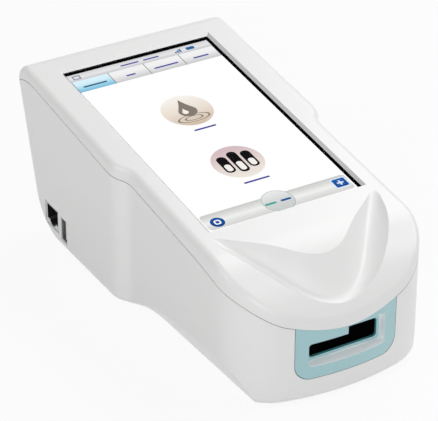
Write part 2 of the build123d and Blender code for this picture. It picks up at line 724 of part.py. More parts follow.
def stepped(half, low, low_top, tall_top, step_x, y, grow=0.0):
    """Stepped outline of the slot, upright at y, grown on every side."""
    half += grow
    low -= grow
    low_top += grow
    tall_top += grow
    step_x -= grow
    with BuildSketch(Plane.XZ.offset(-y)) as sketch:
        with BuildLine():
            Polyline((-half, low), (half, low), (half, tall_top), (step_x, tall_top), (step_x, low_top),
                     (-half, low_top), close=True)
        make_face()
        outer = [v for v in sketch.vertices() if abs(v.X - step_x) > 0.1]
        fillet(outer, SLOT_CORNER)
    return sketch.sketch


def front_bezel():
    """Teal plate in the front wall, with a funnel that narrows to a flat rim round the stepped slot."""
    band = extrude(plan_face(), REACH) - extrude(plan_face(WALL), REACH)
    face = bezel_outline() & band & below_parting(-0.05)
    inner_y = BODY_FRONT + FUNNEL_DEPTH
    horn = block(about(0, 2 * (MOUTH_HALF + FUNNEL_WALL)), (BODY_FRONT + WALL - 0.2, inner_y + FUNNEL_RIM),
                 (MOUTH_BOTTOM - FUNNEL_WALL, BEZEL_TOP))
    mouth = stepped(MOUTH_HALF, MOUTH_BOTTOM, MOUTH_LOW_TOP, MOUTH_TALL_TOP, MOUTH_STEP_X, BODY_FRONT - 0.6)
    slot = (SLOT_HALF, SLOT_BOTTOM, SLOT_LOW_TOP, SLOT_TALL_TOP, SLOT_STEP_X)
    throat = extrude(stepped(*slot, inner_y - 1), -2 * FUNNEL_RIM - 1)
    return face + horn - loft([mouth, stepped(*slot, inner_y, SLOT_RIM)]) - throat


# Cartridge guide, shutter, heater and switch

def guide_front():
    """Front end of the guide, just behind the bezel."""
    return BODY_FRONT + FUNNEL_DEPTH + FUNNEL_RIM + GUIDE_GAP


def shutter_y():
    """Rear face of the closed shutter and middle of its pin."""
    return guide_front() + SHUTTER_GAP + SHUTTER_THICK


def chamber_rear():
    """Rear end of the room in which the shutter swings."""
    return shutter_y() + SHUTTER_PIN_Z - SHUTTER_BOTTOM + SHUTTER_TIP_GAP


def cartridge_guide():
    """Black channel for the cartridge, with the swinging room of the shutter and the well of the head."""
    front = guide_front()
    low = CHASSIS_Z + SHEET
    shape = block((-GUIDE_HALF, GUIDE_HALF), (front, GUIDE_REAR), (low, GUIDE_TOP))
    shape += block((-GUIDE_HALF, GUIDE_HALF), (front, chamber_rear()), (low, CHAMBER_TOP))
    chamber_x = (-CHAMBER_HALF, CHAMBER_HALF)
    shape -= block(chamber_x, (front - 1, chamber_rear()), (CHAMBER_FLOOR, CHAMBER_TOP + 1))
    half = SLOT_HALF + CHANNEL_GAP
    floor = SLOT_BOTTOM - CHANNEL_GAP
    rear = GUIDE_REAR - 3
    shape -= block((-half, half), (front, rear), (floor, SLOT_LOW_TOP))
    shape -= block((SLOT_STEP_X - CHANNEL_GAP, half), (front, rear), (floor, SLOT_TALL_TOP))
    well = about(DRIVE_X, 2 * (HEAD_HALF + HEAD_GAP))
    shape -= block(well, (HEAD_FRONT - HEAD_GAP, HEAD_REAR + HEAD_GAP), (HEATER_TOP, GUIDE_TOP + 1))
    shape -= block(well, (HEAD_FRONT, HEAD_REAR), (HEATER_TOP - HEATER_THICK, HEATER_TOP + 1))
    shape -= pin_x(shutter_y(), SHUTTER_PIN_Z, -GUIDE_HALF - 1, GUIDE_HALF + 1, SHUTTER_PIN_D)
    return shape - switch_box(SOCKET_FIT)


def heater_plate():
    """Aluminium plate let into the floor of the channel."""
    width = about(DRIVE_X, 2 * (HEAD_HALF + HEAD_GAP))
    plate = block(width, (HEAD_FRONT, HEAD_REAR), (HEATER_TOP - HEATER_THICK, HEATER_TOP))
    return chamfer(plate.edges().group_by(Axis.Z)[-1], HEATER_EDGE)


def switch_box(grow=0.0):
    """Body of the cartridge switch at the rear end of the channel."""
    rear = GUIDE_REAR + SWITCH_SETBACK
    return block(about(SWITCH_X, SWITCH_WIDTH + 2 * grow), (rear - SWITCH_LENGTH - grow, rear),
                 (SWITCH_Z - grow, SWITCH_Z + SWITCH_HEIGHT + grow))


def cartridge_switch():
    """Small switch whose lever meets the end of the cartridge."""
    front = GUIDE_REAR + SWITCH_SETBACK - SWITCH_LENGTH
    high = SWITCH_Z + SWITCH_HEIGHT - 1
    lever = block(about(SWITCH_X, SWITCH_WIDTH - 2), (front - 2.0, front - 1.4), (SWITCH_Z + 0.5, high))
    arm = block(about(SWITCH_X, 2), (front - 1.5, front + 0.2), (high - 1, high))
    return switch_box() + lever + arm


def slot_shutter():
    """Flap hanging from knuckles round its pin."""
    rear = shutter_y()
    width = about(0, 2 * SHUTTER_HALF)
    plate = block(width, (rear - SHUTTER_THICK, rear), (SHUTTER_BOTTOM, SHUTTER_PIN_Z))
    plate = fillet(plate.edges().filter_by(Axis.Y).group_by(Axis.Z)[0], 1.5)
    half = SHUTTER_KNUCKLE_LENGTH / 2
    radius = SHUTTER_KNUCKLE_D / 2
    for middle in (half - SHUTTER_HALF, 0, SHUTTER_HALF - half):
        plate += pin_x(rear, SHUTTER_PIN_Z, middle - half, middle + half, SHUTTER_KNUCKLE_D)
    for left, right in ((2 * half - SHUTTER_HALF, -half), (half, SHUTTER_HALF - 2 * half)):
        gap_z = (SHUTTER_PIN_Z - radius - 0.3, SHUTTER_PIN_Z + radius)
        plate -= block((left, right), (rear - 2 * radius, rear + 2 * radius), gap_z)
    return plate - pin_x(rear, SHUTTER_PIN_Z, -GUIDE_HALF, GUIDE_HALF, SHUTTER_PIN_D + SHUTTER_PIN_FIT)


def shutter_pin():
    """Steel pin of the flap, held in the sides of the guide."""
    return pin_x(shutter_y(), SHUTTER_PIN_Z, -GUIDE_HALF, GUIDE_HALF, SHUTTER_PIN_D)


# Chassis and drive

def motor_z():
    """Height of the motor shaft, one centre distance under the lead screw."""
    return SCREW_AXIS_Z - MODULE * (GEAR_TEETH + PINION_TEETH) / 2 - CENTRE_CLEARANCE


def chassis():
    """Folded frame: floor with ears, rear bulkhead, two cheeks and a front bridge."""
    low = CHASSIS_Z
    rear = REAR_BULKHEAD_Y + SHEET
    width = about(0, 2 * CHASSIS_HALF)
    frame = block(width, (CHASSIS_FRONT, rear), (low, low + SHEET))
    for x, y in EAR_PLACES:
        ear = block(about(x, EAR_SIZE), about(y, EAR_SIZE), (low, low + SHEET))
        frame += fillet(ear.edges().filter_by(Axis.Z), EAR_SIZE * 0.3)
    frame += block(width, (REAR_BULKHEAD_Y, rear), (low, CHASSIS_TOP))
    bridge_y = (FRONT_BULKHEAD_Y, FRONT_BULKHEAD_Y + SHEET)
    frame += block(width, bridge_y, (CHAMBER_TOP + GUIDE_GAP, CHASSIS_TOP))
    window_y = (FRONT_BULKHEAD_Y + CHEEK_END, REAR_BULKHEAD_Y - CHEEK_END)
    for x in (-CHASSIS_HALF, CHASSIS_HALF - SHEET):
        cheek = block((x, x + SHEET), (FRONT_BULKHEAD_Y, rear), (low, CHASSIS_TOP))
        window = block((x - 1, x + SHEET + 1), window_y, (low + CHEEK_RIM, CHASSIS_TOP - CHEEK_RIM))
        frame += cheek - fillet(window.edges().filter_by(Axis.X), CHEEK_RIM / 2)
    for x, y in EAR_PLACES:
        frame -= pin_z(x, y, low - 1, low + SHEET + 1, SCREW_D + 2 * SCREW_CLEAR)
    frame -= pin_y(DRIVE_X, SCREW_AXIS_Z, FRONT_BULKHEAD_Y - 5, rear + 5, BUSH_D)
    frame -= pin_y(DRIVE_X, motor_z(), REAR_BULKHEAD_Y - 5, rear + 5, MOTOR_BOSS_D + 0.2)
    for x in ROD_X:
        frame -= pin_y(x, SCREW_AXIS_Z, FRONT_BULKHEAD_Y - 5, rear + 5, ROD_D)
    for x in MOTOR_SCREW_X:
        frame -= pin_y(x, motor_z(), REAR_BULKHEAD_Y - 5, rear + 5, MOTOR_SCREW_D + 0.5)
    return frame


def screw_bushes():
    """Flanged bushes of the lead screw in the two bulkheads."""
    front_flange = FRONT_BULKHEAD_Y + SHEET
    rear_flange = REAR_BULKHEAD_Y - BUSH_FLANGE_THICK
    made = []
    for y, flange in ((FRONT_BULKHEAD_Y, front_flange), (REAR_BULKHEAD_Y, rear_flange)):
        bush = pin_y(DRIVE_X, SCREW_AXIS_Z, y, y + SHEET, BUSH_D)
        bush += pin_y(DRIVE_X, SCREW_AXIS_Z, flange, flange + BUSH_FLANGE_THICK, BUSH_FLANGE_D)
        made.append(bush - pin_y(DRIVE_X, SCREW_AXIS_Z, y - 5, y + 8, LEAD_SCREW_D + RUNNING_FIT))
    return joined(made)


def gear_profile(teeth):
    """Outline of a spur gear, its flanks run through points of the involute."""
    pitch = MODULE * teeth / 2
    press = radians(PRESSURE_ANGLE)
    base = pitch * cos(press)
    tip = pitch + 0.9 * MODULE
    root = pitch - 1.15 * MODULE
    half = (pi * MODULE / 2 - GEAR_BACKLASH) / 2 / pitch
    roll = tan(press) - press

    def flank(radius):
        angle = sqrt(max(radius**2 / base**2 - 1, 0.0))
        return half + roll - (angle - atan(angle))

    points = []
    for tooth in range(teeth):
        middle = 2 * pi * tooth / teeth
        steps = [(root, flank(max(root, base)) + 0.02), (pitch, half), (tip, flank(tip))]
        for radius, angle in steps:
            points.append((radius * cos(middle - angle), radius * sin(middle - angle)))
        for radius, angle in reversed(steps):
            points.append((radius * cos(middle + angle), radius * sin(middle + angle)))
    return make_face(Polyline(*points, close=True))


def gear(teeth, bore, x, z, turn):
    """Spur gear with its axis lengthwise, behind the rear bulkhead."""
    front = REAR_BULKHEAD_Y + SHEET + GEAR_GAP
    wheel = extrude(Rot(0, 0, turn) * gear_profile(teeth), GEAR_WIDTH) - Cylinder(bore / 2, 4 * GEAR_WIDTH)
    return Pos(x, front + GEAR_WIDTH, z) * Rot(90, 0, 0) * wheel


def screw_gear():
    """Large gear, pressed on the rear end of the lead screw."""
    wheel = gear(GEAR_TEETH, LEAD_SCREW_D, DRIVE_X, SCREW_AXIS_Z, -90)
    front = REAR_BULKHEAD_Y + SHEET + GEAR_GAP
    hub = pin_y(DRIVE_X, SCREW_AXIS_Z, front + GEAR_WIDTH, front + GEAR_WIDTH + HUB_LENGTH, HUB_D)
    for count in range(WEB_HOLES):
        angle = 2 * pi * count / WEB_HOLES
        hole = (DRIVE_X + WEB_RING_D / 2 * sin(angle), SCREW_AXIS_Z + WEB_RING_D / 2 * cos(angle))
        wheel -= pin_y(hole[0], hole[1], front - 1, front + GEAR_WIDTH + 1, WEB_HOLE_D)
    return wheel + hub - pin_y(DRIVE_X, SCREW_AXIS_Z, front - 1, front + 2 * GEAR_WIDTH, LEAD_SCREW_D)


def motor_pinion():
    """Small gear, pressed on the motor shaft."""
    return gear(PINION_TEETH, MOTOR_SHAFT_D, DRIVE_X, motor_z(), 90 + 180 / PINION_TEETH)


def lead_screw():
    """Screw that moves the carriage, with a collar beside each bush."""
    rear = REAR_BULKHEAD_Y + SHEET + GEAR_GAP + GEAR_WIDTH + HUB_LENGTH + 0.6
    front = FRONT_BULKHEAD_Y - 2.5
    rod = pin_y(DRIVE_X, SCREW_AXIS_Z, front, rear, LEAD_SCREW_D)
    rear_collar = REAR_BULKHEAD_Y - BUSH_FLANGE_THICK - COLLAR_GAP
    for y in (FRONT_BULKHEAD_Y + SHEET + COLLAR_GAP, rear_collar):
        rod += pin_y(DRIVE_X, SCREW_AXIS_Z, y, y + COLLAR_THICK, COLLAR_D)
    return chamfer(rod.edges().sort_by(Axis.Y)[0], 0.5)


def guide_rods():
    """Two ground rods held in the bulkheads."""
    return joined([pin_y(x, SCREW_AXIS_Z, FRONT_BULKHEAD_Y, REAR_BULKHEAD_Y + SHEET, ROD_D) for x in ROD_X])


def drive_motor():
    """Can motor under the lead screw, its shaft through the rear bulkhead."""
    rear = REAR_BULKHEAD_Y
    can = pin_y(DRIVE_X, motor_z(), rear - MOTOR_LENGTH, rear, MOTOR_D)
    can = fillet(can.edges().sort_by(Axis.Y)[0], 1.2)
    can += pin_y(DRIVE_X, motor_z(), rear - 0.1, rear + SHEET, MOTOR_BOSS_D)
    under = motor_z() - MOTOR_D / 2
    can += block(about(DRIVE_X, 10), (rear - 9, rear - 3), (under - 2.4, under + 3))
    for x in MOTOR_SCREW_X:
        can -= pin_y(x, motor_z(), rear - 4, rear + 4, MOTOR_SCREW_D)
    return can


def motor_shaft():
    """Shaft that turns with the pinion."""
    front = REAR_BULKHEAD_Y + SHEET
    return pin_y(DRIVE_X, motor_z(), front + 0.3, front + GEAR_GAP + GEAR_WIDTH + 1, MOTOR_SHAFT_D)


def motor_screws():
    """Two small screws that hold the motor to the bulkhead."""
    made = []
    rear = REAR_BULKHEAD_Y + SHEET
    for x in MOTOR_SCREW_X:
        head = pin_y(x, motor_z(), rear, rear + 0.8, MOTOR_SCREW_HEAD_D)
        made.append(head + pin_y(x, motor_z(), rear - 4, rear, MOTOR_SCREW_D))
    return joined(made)


# Carriage and contact head

def cam_slot(x):
    """Inclined slot for one cam pin, as long as the travel."""
    rise = HEAD_TRAVEL / CARRIAGE_TRAVEL
    run = CARRIAGE_TRAVEL + 2 * CAM_END
    slot = SlotCenterToCenter(run * sqrt(1 + rise**2), CAM_PIN_D + 2 * CAM_CLEAR)
    middle = Pos(HEAD_Y + CARRIAGE_TRAVEL / 2, CAM_PIN_Z - HEAD_TRAVEL / 2, 0)
    outline = Plane.YZ * middle * Rot(0, 0, -degrees(atan(rise))) * slot
    return Pos(x, 0, 0) * extrude(outline, 2 * CARRIAGE_PLATE, both=True)


def carriage():
    """Slide on the two rods: nut block, bridge, and two plates with inclined slots."""
    inner = HEAD_HALF + CAM_GAP
    outer = inner + CARRIAGE_PLATE + ROD_D
    span = about(DRIVE_X, 2 * outer)
    length = (CARRIAGE_FRONT, CARRIAGE_REAR)
    body = block(span, (CARRIAGE_REAR - NUT_LENGTH, CARRIAGE_REAR), (NUT_BOTTOM, CARRIAGE_TOP))
    body += block(span, length, (CARRIAGE_TOP, CARRIAGE_TOP + BRIDGE_THICK))
    for sign in (-1, 1):
        plate_x = DRIVE_X + sign * (inner + CARRIAGE_PLATE / 2)
        plate = block(about(plate_x, CARRIAGE_PLATE), length, (CARRIAGE_BOTTOM, CARRIAGE_TOP))
        body += plate - cam_slot(plate_x)
        runner_x = DRIVE_X + sign * (outer - RUNNER_WIDTH / 2)
        body += block(about(runner_x, RUNNER_WIDTH), (CARRIAGE_FRONT, CARRIAGE_FRONT + RUNNER_LENGTH),
                      (SCREW_AXIS_Z - ROD_D, CARRIAGE_TOP))
    for x in ROD_X:
        body -= pin_y(x, SCREW_AXIS_Z, CARRIAGE_FRONT - 2, CARRIAGE_REAR + 2, ROD_D + ROD_FIT)
    return body - pin_y(DRIVE_X, SCREW_AXIS_Z, CARRIAGE_FRONT - 2, CARRIAGE_REAR + 2, LEAD_SCREW_D + ROD_FIT)


def contact_head():
    """Block in the well of the guide, with a cam pin on each side."""
    shape = block(about(DRIVE_X, 2 * HEAD_HALF), (HEAD_FRONT, HEAD_REAR), (HEAD_BOTTOM, HEAD_TOP))
    reach = HEAD_HALF + CAM_GAP + CARRIAGE_PLATE - 0.3
    shape += pin_x(HEAD_Y, CAM_PIN_Z, DRIVE_X - reach, DRIVE_X + reach, CAM_PIN_D)
    for x, y in contact_places():
        shape -= pin_z(x, y, HEAD_BOTTOM - 1, HEAD_BOTTOM + CONTACT_ROOT, CONTACT_D)
    return shape


def contact_places():
    """Two rows of four contacts."""
    rows = [HEAD_Y + (count - 1.5) * CONTACT_PITCH for count in range(4)]
    return [(DRIVE_X + x, y) for x in (-CONTACT_ROW, CONTACT_ROW) for y in rows]


def contact_pins():
    """Spring pins with rounded tips."""
    made = []
    for x, y in contact_places():
        pin = pin_z(x, y, HEAD_BOTTOM - CONTACT_LENGTH, HEAD_BOTTOM + CONTACT_ROOT, CONTACT_D)
        made.append(fillet(pin.edges().sort_by(Axis.Z)[0], CONTACT_D * 0.4))
    return joined(made)


# Display

def touch_glass():
    """Cover glass with rounded corners."""
    glass = on_screen(GLASS_WIDTH, GLASS_LENGTH, GLASS_TOP, GLASS_THICK)
    return fillet(glass.edges().filter_by(SCREEN_AXIS), 1.5)


def display_gasket():
    """Foam frame between the rim of the window and the glass."""
    frame = on_screen(GLASS_WIDTH, GLASS_LENGTH, GLASS_TOP - GASKET_THICK, GASKET_THICK)
    return frame - on_screen(WINDOW_WIDTH + 2 * GASKET_SETBACK, WINDOW_LENGTH + 2 * GASKET_SETBACK, 0, 6)


def display_panel():
    """Liquid crystal module in its folded metal can."""
    panel = on_screen(PANEL_WIDTH, PANEL_LENGTH, GLASS_UNDER, PANEL_THICK)
    return fillet(panel.edges().filter_by(SCREEN_AXIS), 1.0)


def display_bracket():
    """Sheet frame behind the module, screwed to the cover at its four corners."""
    length = 2 * (DISPLAY_BOSS_Y + 4.5)
    plate = on_screen(PANEL_WIDTH, length, PANEL_UNDER, BRACKET_THICK)
    for sign in (-1, 1):
        window_length = PANEL_LENGTH / 2 - 1.5 * BRACKET_RIM
        place = Pos(0, sign * (window_length + BRACKET_RIM) / 2, -PANEL_UNDER)
        window = SCREEN_PLANE * place * Box(PANEL_WIDTH - 2 * BRACKET_RIM, window_length, 10)
        plate -= fillet(window.edges().filter_by(SCREEN_AXIS), 4.0)
    for x, y in DISPLAY_PLACES:
        plate -= SCREEN_PLANE * Pos(x, y, -PANEL_UNDER) * Cylinder(SCREW_D / 2 + SCREW_CLEAR, 10)
    return plate


def display_screws():
    """Screws that hold the bracket up to the cover."""
    seat = -PANEL_UNDER - BRACKET_THICK
    return joined([SCREEN_PLANE * Pos(x, y, seat) * screw_up(SHORT_SCREW_LENGTH) for x, y in DISPLAY_PLACES])


# Board, sockets, battery and speaker

def main_board():
    """Control board with a notch for the upright socket and its larger components."""
    top = BOARD_Z + BOARD_THICK
    board = block((BOARD_LEFT, BOARD_RIGHT), (BOARD_FRONT, BOARD_REAR), (BOARD_Z, top))
    notch = (BOARD_LEFT - 1, SOCKET_LEFT + USB_DEPTH + 2 * SOCKET_FIT)
    board -= block(notch, about(USB_Y, USB_WIDTH + 2 * SOCKET_FIT), (BOARD_Z - 1, top + 1))
    for x, y in BOARD_PLACES:
        board -= pin_z(x, y, BOARD_Z - 1, top + 1, SCREW_D + 2 * SCREW_CLEAR)
    for x, y, width, depth, height in BOARD_PARTS:
        left = BOARD_LEFT + x
        front = BOARD_FRONT + y
        board += block((left, left + width), (front, front + depth), (top - 0.1, top + height))
    return board


def ethernet_jack():
    """Shielded network socket with its stepped opening."""
    low = BOARD_Z + BOARD_THICK
    shell = block((SOCKET_LEFT, SOCKET_LEFT + ETHERNET_DEPTH), about(ETHERNET_Y, ETHERNET_WIDTH),
                  (low, low + ETHERNET_HEIGHT))
    plug = (SOCKET_LEFT - 1, SOCKET_LEFT + PLUG_DEPTH)
    for half, under, over in PLUG_STEPS:
        shell -= block(plug, about(ETHERNET_Y, 2 * half), (low + under, low + over))
    return shell


def usb_jack():
    """Upright type-A socket with its tongue."""
    low = BOARD_Z + BOARD_THICK - USB_SINK
    high = low + USB_HEIGHT
    shell = block((SOCKET_LEFT, SOCKET_LEFT + USB_DEPTH), about(USB_Y, USB_WIDTH), (low, high))
    shell -= block((SOCKET_LEFT - 1, SOCKET_LEFT + USB_HOLLOW), about(USB_Y, USB_WIDTH - 2 * USB_METAL),
                   (low + USB_METAL, high - USB_METAL))
    tongue_x = (SOCKET_LEFT + USB_METAL, SOCKET_LEFT + USB_HOLLOW + 1)
    tongue_y = USB_Y - USB_WIDTH / 2 + USB_METAL + USB_TONGUE_GAP / 2
    gap = USB_METAL + USB_TONGUE_GAP
    return shell + block(tongue_x, (tongue_y, tongue_y + USB_TONGUE), (low + gap, high - gap))


def board_screws():
    """Screws of the control board."""
    return joined([Pos(x, y, BOARD_Z + BOARD_THICK) * screw(SHORT_SCREW_LENGTH) for x, y in BOARD_PLACES])


def battery_pack():
    """Two cells side by side in a shrink sleeve."""
    low = FOOT_HEIGHT + DOOR_THICK + DOOR_FIT
    radius = BATTERY_HEIGHT / 2
    gap = BATTERY_WIDTH / 2 - radius
    length = (-BATTERY_LENGTH / 2, BATTERY_LENGTH / 2)
    pack = block(length, (BATTERY_Y - gap, BATTERY_Y + gap), (low, low + BATTERY_HEIGHT))
    for y in (BATTERY_Y - gap, BATTERY_Y + gap):
        pack += pin_x(y, low + radius, length[0], length[1], BATTERY_HEIGHT)
    return pack


def battery_door():
    """Flat door in the base, with two sunk screw holes."""
    door = around_battery(DOOR_RIM, FOOT_HEIGHT, FOOT_HEIGHT + DOOR_THICK)
    door = fillet(door.edges().filter_by(Axis.Z), 0.6)
    for x in DOOR_SCREW_X:
        door -= pin_z(x, BATTERY_Y, 0, 8, SCREW_D + 2 * SCREW_CLEAR)
        door -= pin_z(x, BATTERY_Y, 0, FOOT_HEIGHT + DOOR_SCREW_SINK, SCREW_HEAD_D + 2 * SCREW_CLEAR)
    return door


def door_screws():
    """Screws of the battery door, heads sunk flush."""
    made = []
    tip = FOOT_HEIGHT + DOOR_THICK + DOOR_BED - 0.2
    for x in DOOR_SCREW_X:
        head = pin_z(x, BATTERY_Y, FOOT_HEIGHT + 0.1, FOOT_HEIGHT + DOOR_SCREW_SINK, SCREW_HEAD_D)
        head -= Pos(x, BATTERY_Y, FOOT_HEIGHT) * recess()
        made.append(head + pin_z(x, BATTERY_Y, FOOT_HEIGHT + 1, tip, PILOT_D))
    return joined(made)


def speaker():
    """Round beeper over the slots in the base."""
    can = pin_z(SPEAKER_X, SPEAKER_Y, FLOOR_Z, FLOOR_Z + SPEAKER_THICK, SPEAKER_D)
    high = FLOOR_Z + SPEAKER_THICK
    magnet = pin_z(SPEAKER_X, SPEAKER_Y, high, high + MAGNET_THICK, MAGNET_D)
    return can + magnet - pin_z(SPEAKER_X, SPEAKER_Y, FLOOR_Z - 1, FLOOR_Z + 1.2, SPEAKER_D - 4)


# Rear wall fittings

def power_switch():
    """Barrel of the power switch, with a flange outside the wall."""
    barrel = tube(BARREL_D, BUTTON_D + 2 * BUTTON_GAP, -BARREL_LENGTH, 0.1)
    flange = tube(FLANGE_D, BUTTON_D + 2 * BUTTON_GAP, 0, FLANGE_THICK)
    closed = Pos(0, 0, -BARREL_LENGTH - 1) * Cylinder(BARREL_D / 2, 2.2)
    return rear_plane(BUTTON_X) * (barrel + flange + closed)


def power_button():
    """Push button that travels in the barrel."""
    high = FLANGE_THICK + BUTTON_TRAVEL + 0.6
    cap = Pos(0, 0, high - 4.5) * Cylinder(BUTTON_D / 2, 9)
    return rear_plane(BUTTON_X) * fillet(cap.edges().sort_by(Axis.Z)[-1], 0.8)


def dc_inlet():
    """Barrel power socket with its centre pin."""
    body = tube(BARREL_D, INLET_BORE_D, -BARREL_LENGTH, 0.1) + tube(FLANGE_D, INLET_BORE_D, 0, FLANGE_THICK)
    body += Pos(0, 0, -BARREL_LENGTH - 1) * Cylinder(BARREL_D / 2, 2.2)
    pin = Pos(0, 0, -BARREL_LENGTH / 2 - 0.5) * Cylinder(INLET_PIN_D / 2, BARREL_LENGTH - 0.8)
    return rear_plane(INLET_X) * (body + pin)


def panel_nuts():
    """Nuts that hold the switch and the inlet from inside."""
    outline = RegularPolygon(NUT_ACROSS / 2, 6, major_radius=False)
    nut = extrude(outline, NUT_THICK) - Cylinder(BARREL_D / 2, 3 * NUT_THICK)
    return joined([rear_plane(x) * Pos(0, 0, -WALL - NUT_THICK) * nut for x in (BUTTON_X, INLET_X)])


# Screws of the shells, chassis screws and feet

def case_screws():
    """Long-reach screws that pull the cover down on the pillars."""
    return joined([Pos(x, y, case_seat(y)) * screw_up(CASE_SCREW_LENGTH) for x, y in CASE_PLACES])


def chassis_screws():
    """Screws that hold the chassis to its bosses."""
    return joined([Pos(x, y, CHASSIS_Z + SHEET) * screw(CHASSIS_SCREW_LENGTH) for x, y in EAR_PLACES])


def rubber_feet():
    """Low round feet let into the base."""
    made = []
    for x, y in FOOT_PLACES:
        foot = pin_z(x, y, 0, FOOT_HEIGHT + FOOT_SINK, FOOT_D)
        made.append(fillet(foot.edges().sort_by(Axis.Z)[0], 0.4))
    return joined(made)


def main():
    """Write every piece to its own file."""
    os.makedirs("parts", exist_ok=True)
    body = body_solid()
    export_step(lower_housing(body), "parts/lower_housing.step")
    export_step(upper_cover(body), "parts/upper_cover.step")
    makers = [front_bezel, slot_shutter, shutter_pin, cartridge_guide, heater_plate, cartridge_switch]
    makers += [chassis, screw_bushes, screw_gear, motor_pinion, lead_screw, guide_rods, drive_motor]
    makers += [motor_shaft, motor_screws, carriage, contact_head, contact_pins]
    makers += [touch_glass, display_gasket, display_panel, display_bracket, display_screws]
    makers += [main_board, ethernet_jack, usb_jack, board_screws, battery_pack, battery_door, door_screws]
    makers += [speaker, power_switch, power_button, dc_inlet, panel_nuts]
    makers += [case_screws, chassis_screws, rubber_feet]
    for maker in makers:
        print(maker.__name__)
        export_step(maker(), f"parts/{maker.__name__}.step")


if __name__ == "__main__":
    main()
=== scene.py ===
"""Dresses the compact bench-top electrolyte analyzer and sets up its studio.

All lengths are in metres. The shared frame has +Z up, the front with the cartridge slot facing -Y, and the
origin on the surface that the feet stand on.
"""
import json
from math import cos, pi, radians, sin

import bmesh
import bpy
from mathutils import Matrix, Vector


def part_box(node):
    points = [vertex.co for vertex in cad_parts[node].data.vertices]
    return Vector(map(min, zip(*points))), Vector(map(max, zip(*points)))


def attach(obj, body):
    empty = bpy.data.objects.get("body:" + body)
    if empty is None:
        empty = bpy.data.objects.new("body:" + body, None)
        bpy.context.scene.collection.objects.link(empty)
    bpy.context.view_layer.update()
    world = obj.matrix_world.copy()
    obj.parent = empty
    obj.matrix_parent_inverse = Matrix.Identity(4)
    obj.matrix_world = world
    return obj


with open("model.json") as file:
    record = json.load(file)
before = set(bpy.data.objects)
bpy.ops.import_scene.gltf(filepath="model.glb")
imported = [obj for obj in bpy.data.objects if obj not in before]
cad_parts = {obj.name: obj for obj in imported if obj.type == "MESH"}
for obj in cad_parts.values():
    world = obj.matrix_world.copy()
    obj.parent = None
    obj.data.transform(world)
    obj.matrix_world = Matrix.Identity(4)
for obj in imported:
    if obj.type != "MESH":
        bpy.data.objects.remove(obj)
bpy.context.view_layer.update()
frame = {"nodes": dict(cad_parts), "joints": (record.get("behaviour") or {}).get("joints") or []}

MM = 0.001

# Lowest and highest corners of the CAD nodes that finer pieces and second finishes are placed from
BEZEL_LOW, BEZEL_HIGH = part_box("front_bezel")
GLASS_LOW, GLASS_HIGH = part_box("touch_glass")
NETWORK_LOW, NETWORK_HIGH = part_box("ethernet_jack")
NETWORK_MIDDLE = (NETWORK_LOW + NETWORK_HIGH) / 2
DATA_LOW, DATA_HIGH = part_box("usb_jack")
DATA_MIDDLE = (DATA_LOW + DATA_HIGH) / 2

# Screen plane on the sloping top, how far under it the glass ends, and the thin layers of the picture
SCREEN_CENTRE = Vector((0, 19.0, 83.2)) * MM
SCREEN_TILT = radians(5.92)
SCREEN_WIDTH = 85.9 * MM
SCREEN_LENGTH = 154.2 * MM
GLASS_UNDER = 2.8 * MM
IMAGE_LIFT = 0.04 * MM
LAYER = 0.02 * MM
IMAGE_THICK = 0.012 * MM

# Right edge of the window round the screen, which gets painted shade: how far out, how deep and how far to
# the rear and front it is sought, and how much its normal leans to the left at the least
WINDOW_NEAR = 43.5 * MM
WINDOW_FAR = 46.5 * MM
WINDOW_DEPTH = 1.5 * MM
WINDOW_SKIN = 0.1 * MM
WINDOW_HALF = 77.0 * MM
WINDOW_LEAN = 0.5

# Layout of the picture on the screen: u to the right and v to the rear, from the screen's centre
PICTURE_REAR = 76.7 * MM
GROUND_REAR = 79.0 * MM
GROUND_CORNER = 1.2 * MM
GROUND_INSET = 0.3 * MM

# Strip along the rear of the picture; each bar for a word has a u and a length
STRIP_HEIGHT = 6.5 * MM
STRIP_WINDOW_U = -38.3 * MM
STRIP_WORDS = ((-6.4 * MM, 11.0 * MM), (6.6 * MM, 9.6 * MM))
SIGNAL_COUNT = 3
SIGNAL_U = 21.6 * MM
SIGNAL_STEP = 1.5 * MM
SIGNAL_FOOT = 1.5 * MM
SIGNAL_LOWEST = 1.2 * MM
SIGNAL_RISE = 0.9 * MM
CELL_U = 30.9 * MM

# Tabs, with the length of the bar on each
TAB_HEIGHT = 10.7 * MM
TAB_GAP = 0.5 * MM
TAB_WORDS = (14.0 * MM, 5.6 * MM, 14.6 * MM, 9.4 * MM)
TAB_WORD_DROP = 1.2 * MM

# Round pictures and their captions; a span is where the tones of an area start and end along v
PICTURE_D = 28.0 * MM
SAND_SPAN = (8.0 * MM, 33.0 * MM)
DROP_PLACE = (-0.5 * MM, 20.9 * MM)
DROP_SINK = 0.5 * MM
DROP_TIP_SHARE = 0.55
DROP_TAPER = 0.75
GLINT_PLACE = (DROP_PLACE[0] - 1.6 * MM, DROP_PLACE[1] - 1.2 * MM)
DROP_CAPTION_PLACE = (0.1 * MM, 2.8 * MM)
RING_SIZES = (19.0 * MM, 11.0 * MM)
RING_FLATNESS = 0.36
RING_DROP = 7.5 * MM
PINK_SPAN = (-44.0 * MM, -20.0 * MM)
VIAL_PLACE = (-0.2 * MM, -31.0 * MM)
VIAL_CAPTION_PLACE = (0.4 * MM, -48.9 * MM)
VIAL_LENGTHS = (14.5 * MM, 18.5 * MM, 14.5 * MM)
VIAL_STEP = 7.0 * MM
VIAL_WINDOW_SHARE = 0.42
VIAL_WINDOW_DROP = 0.2

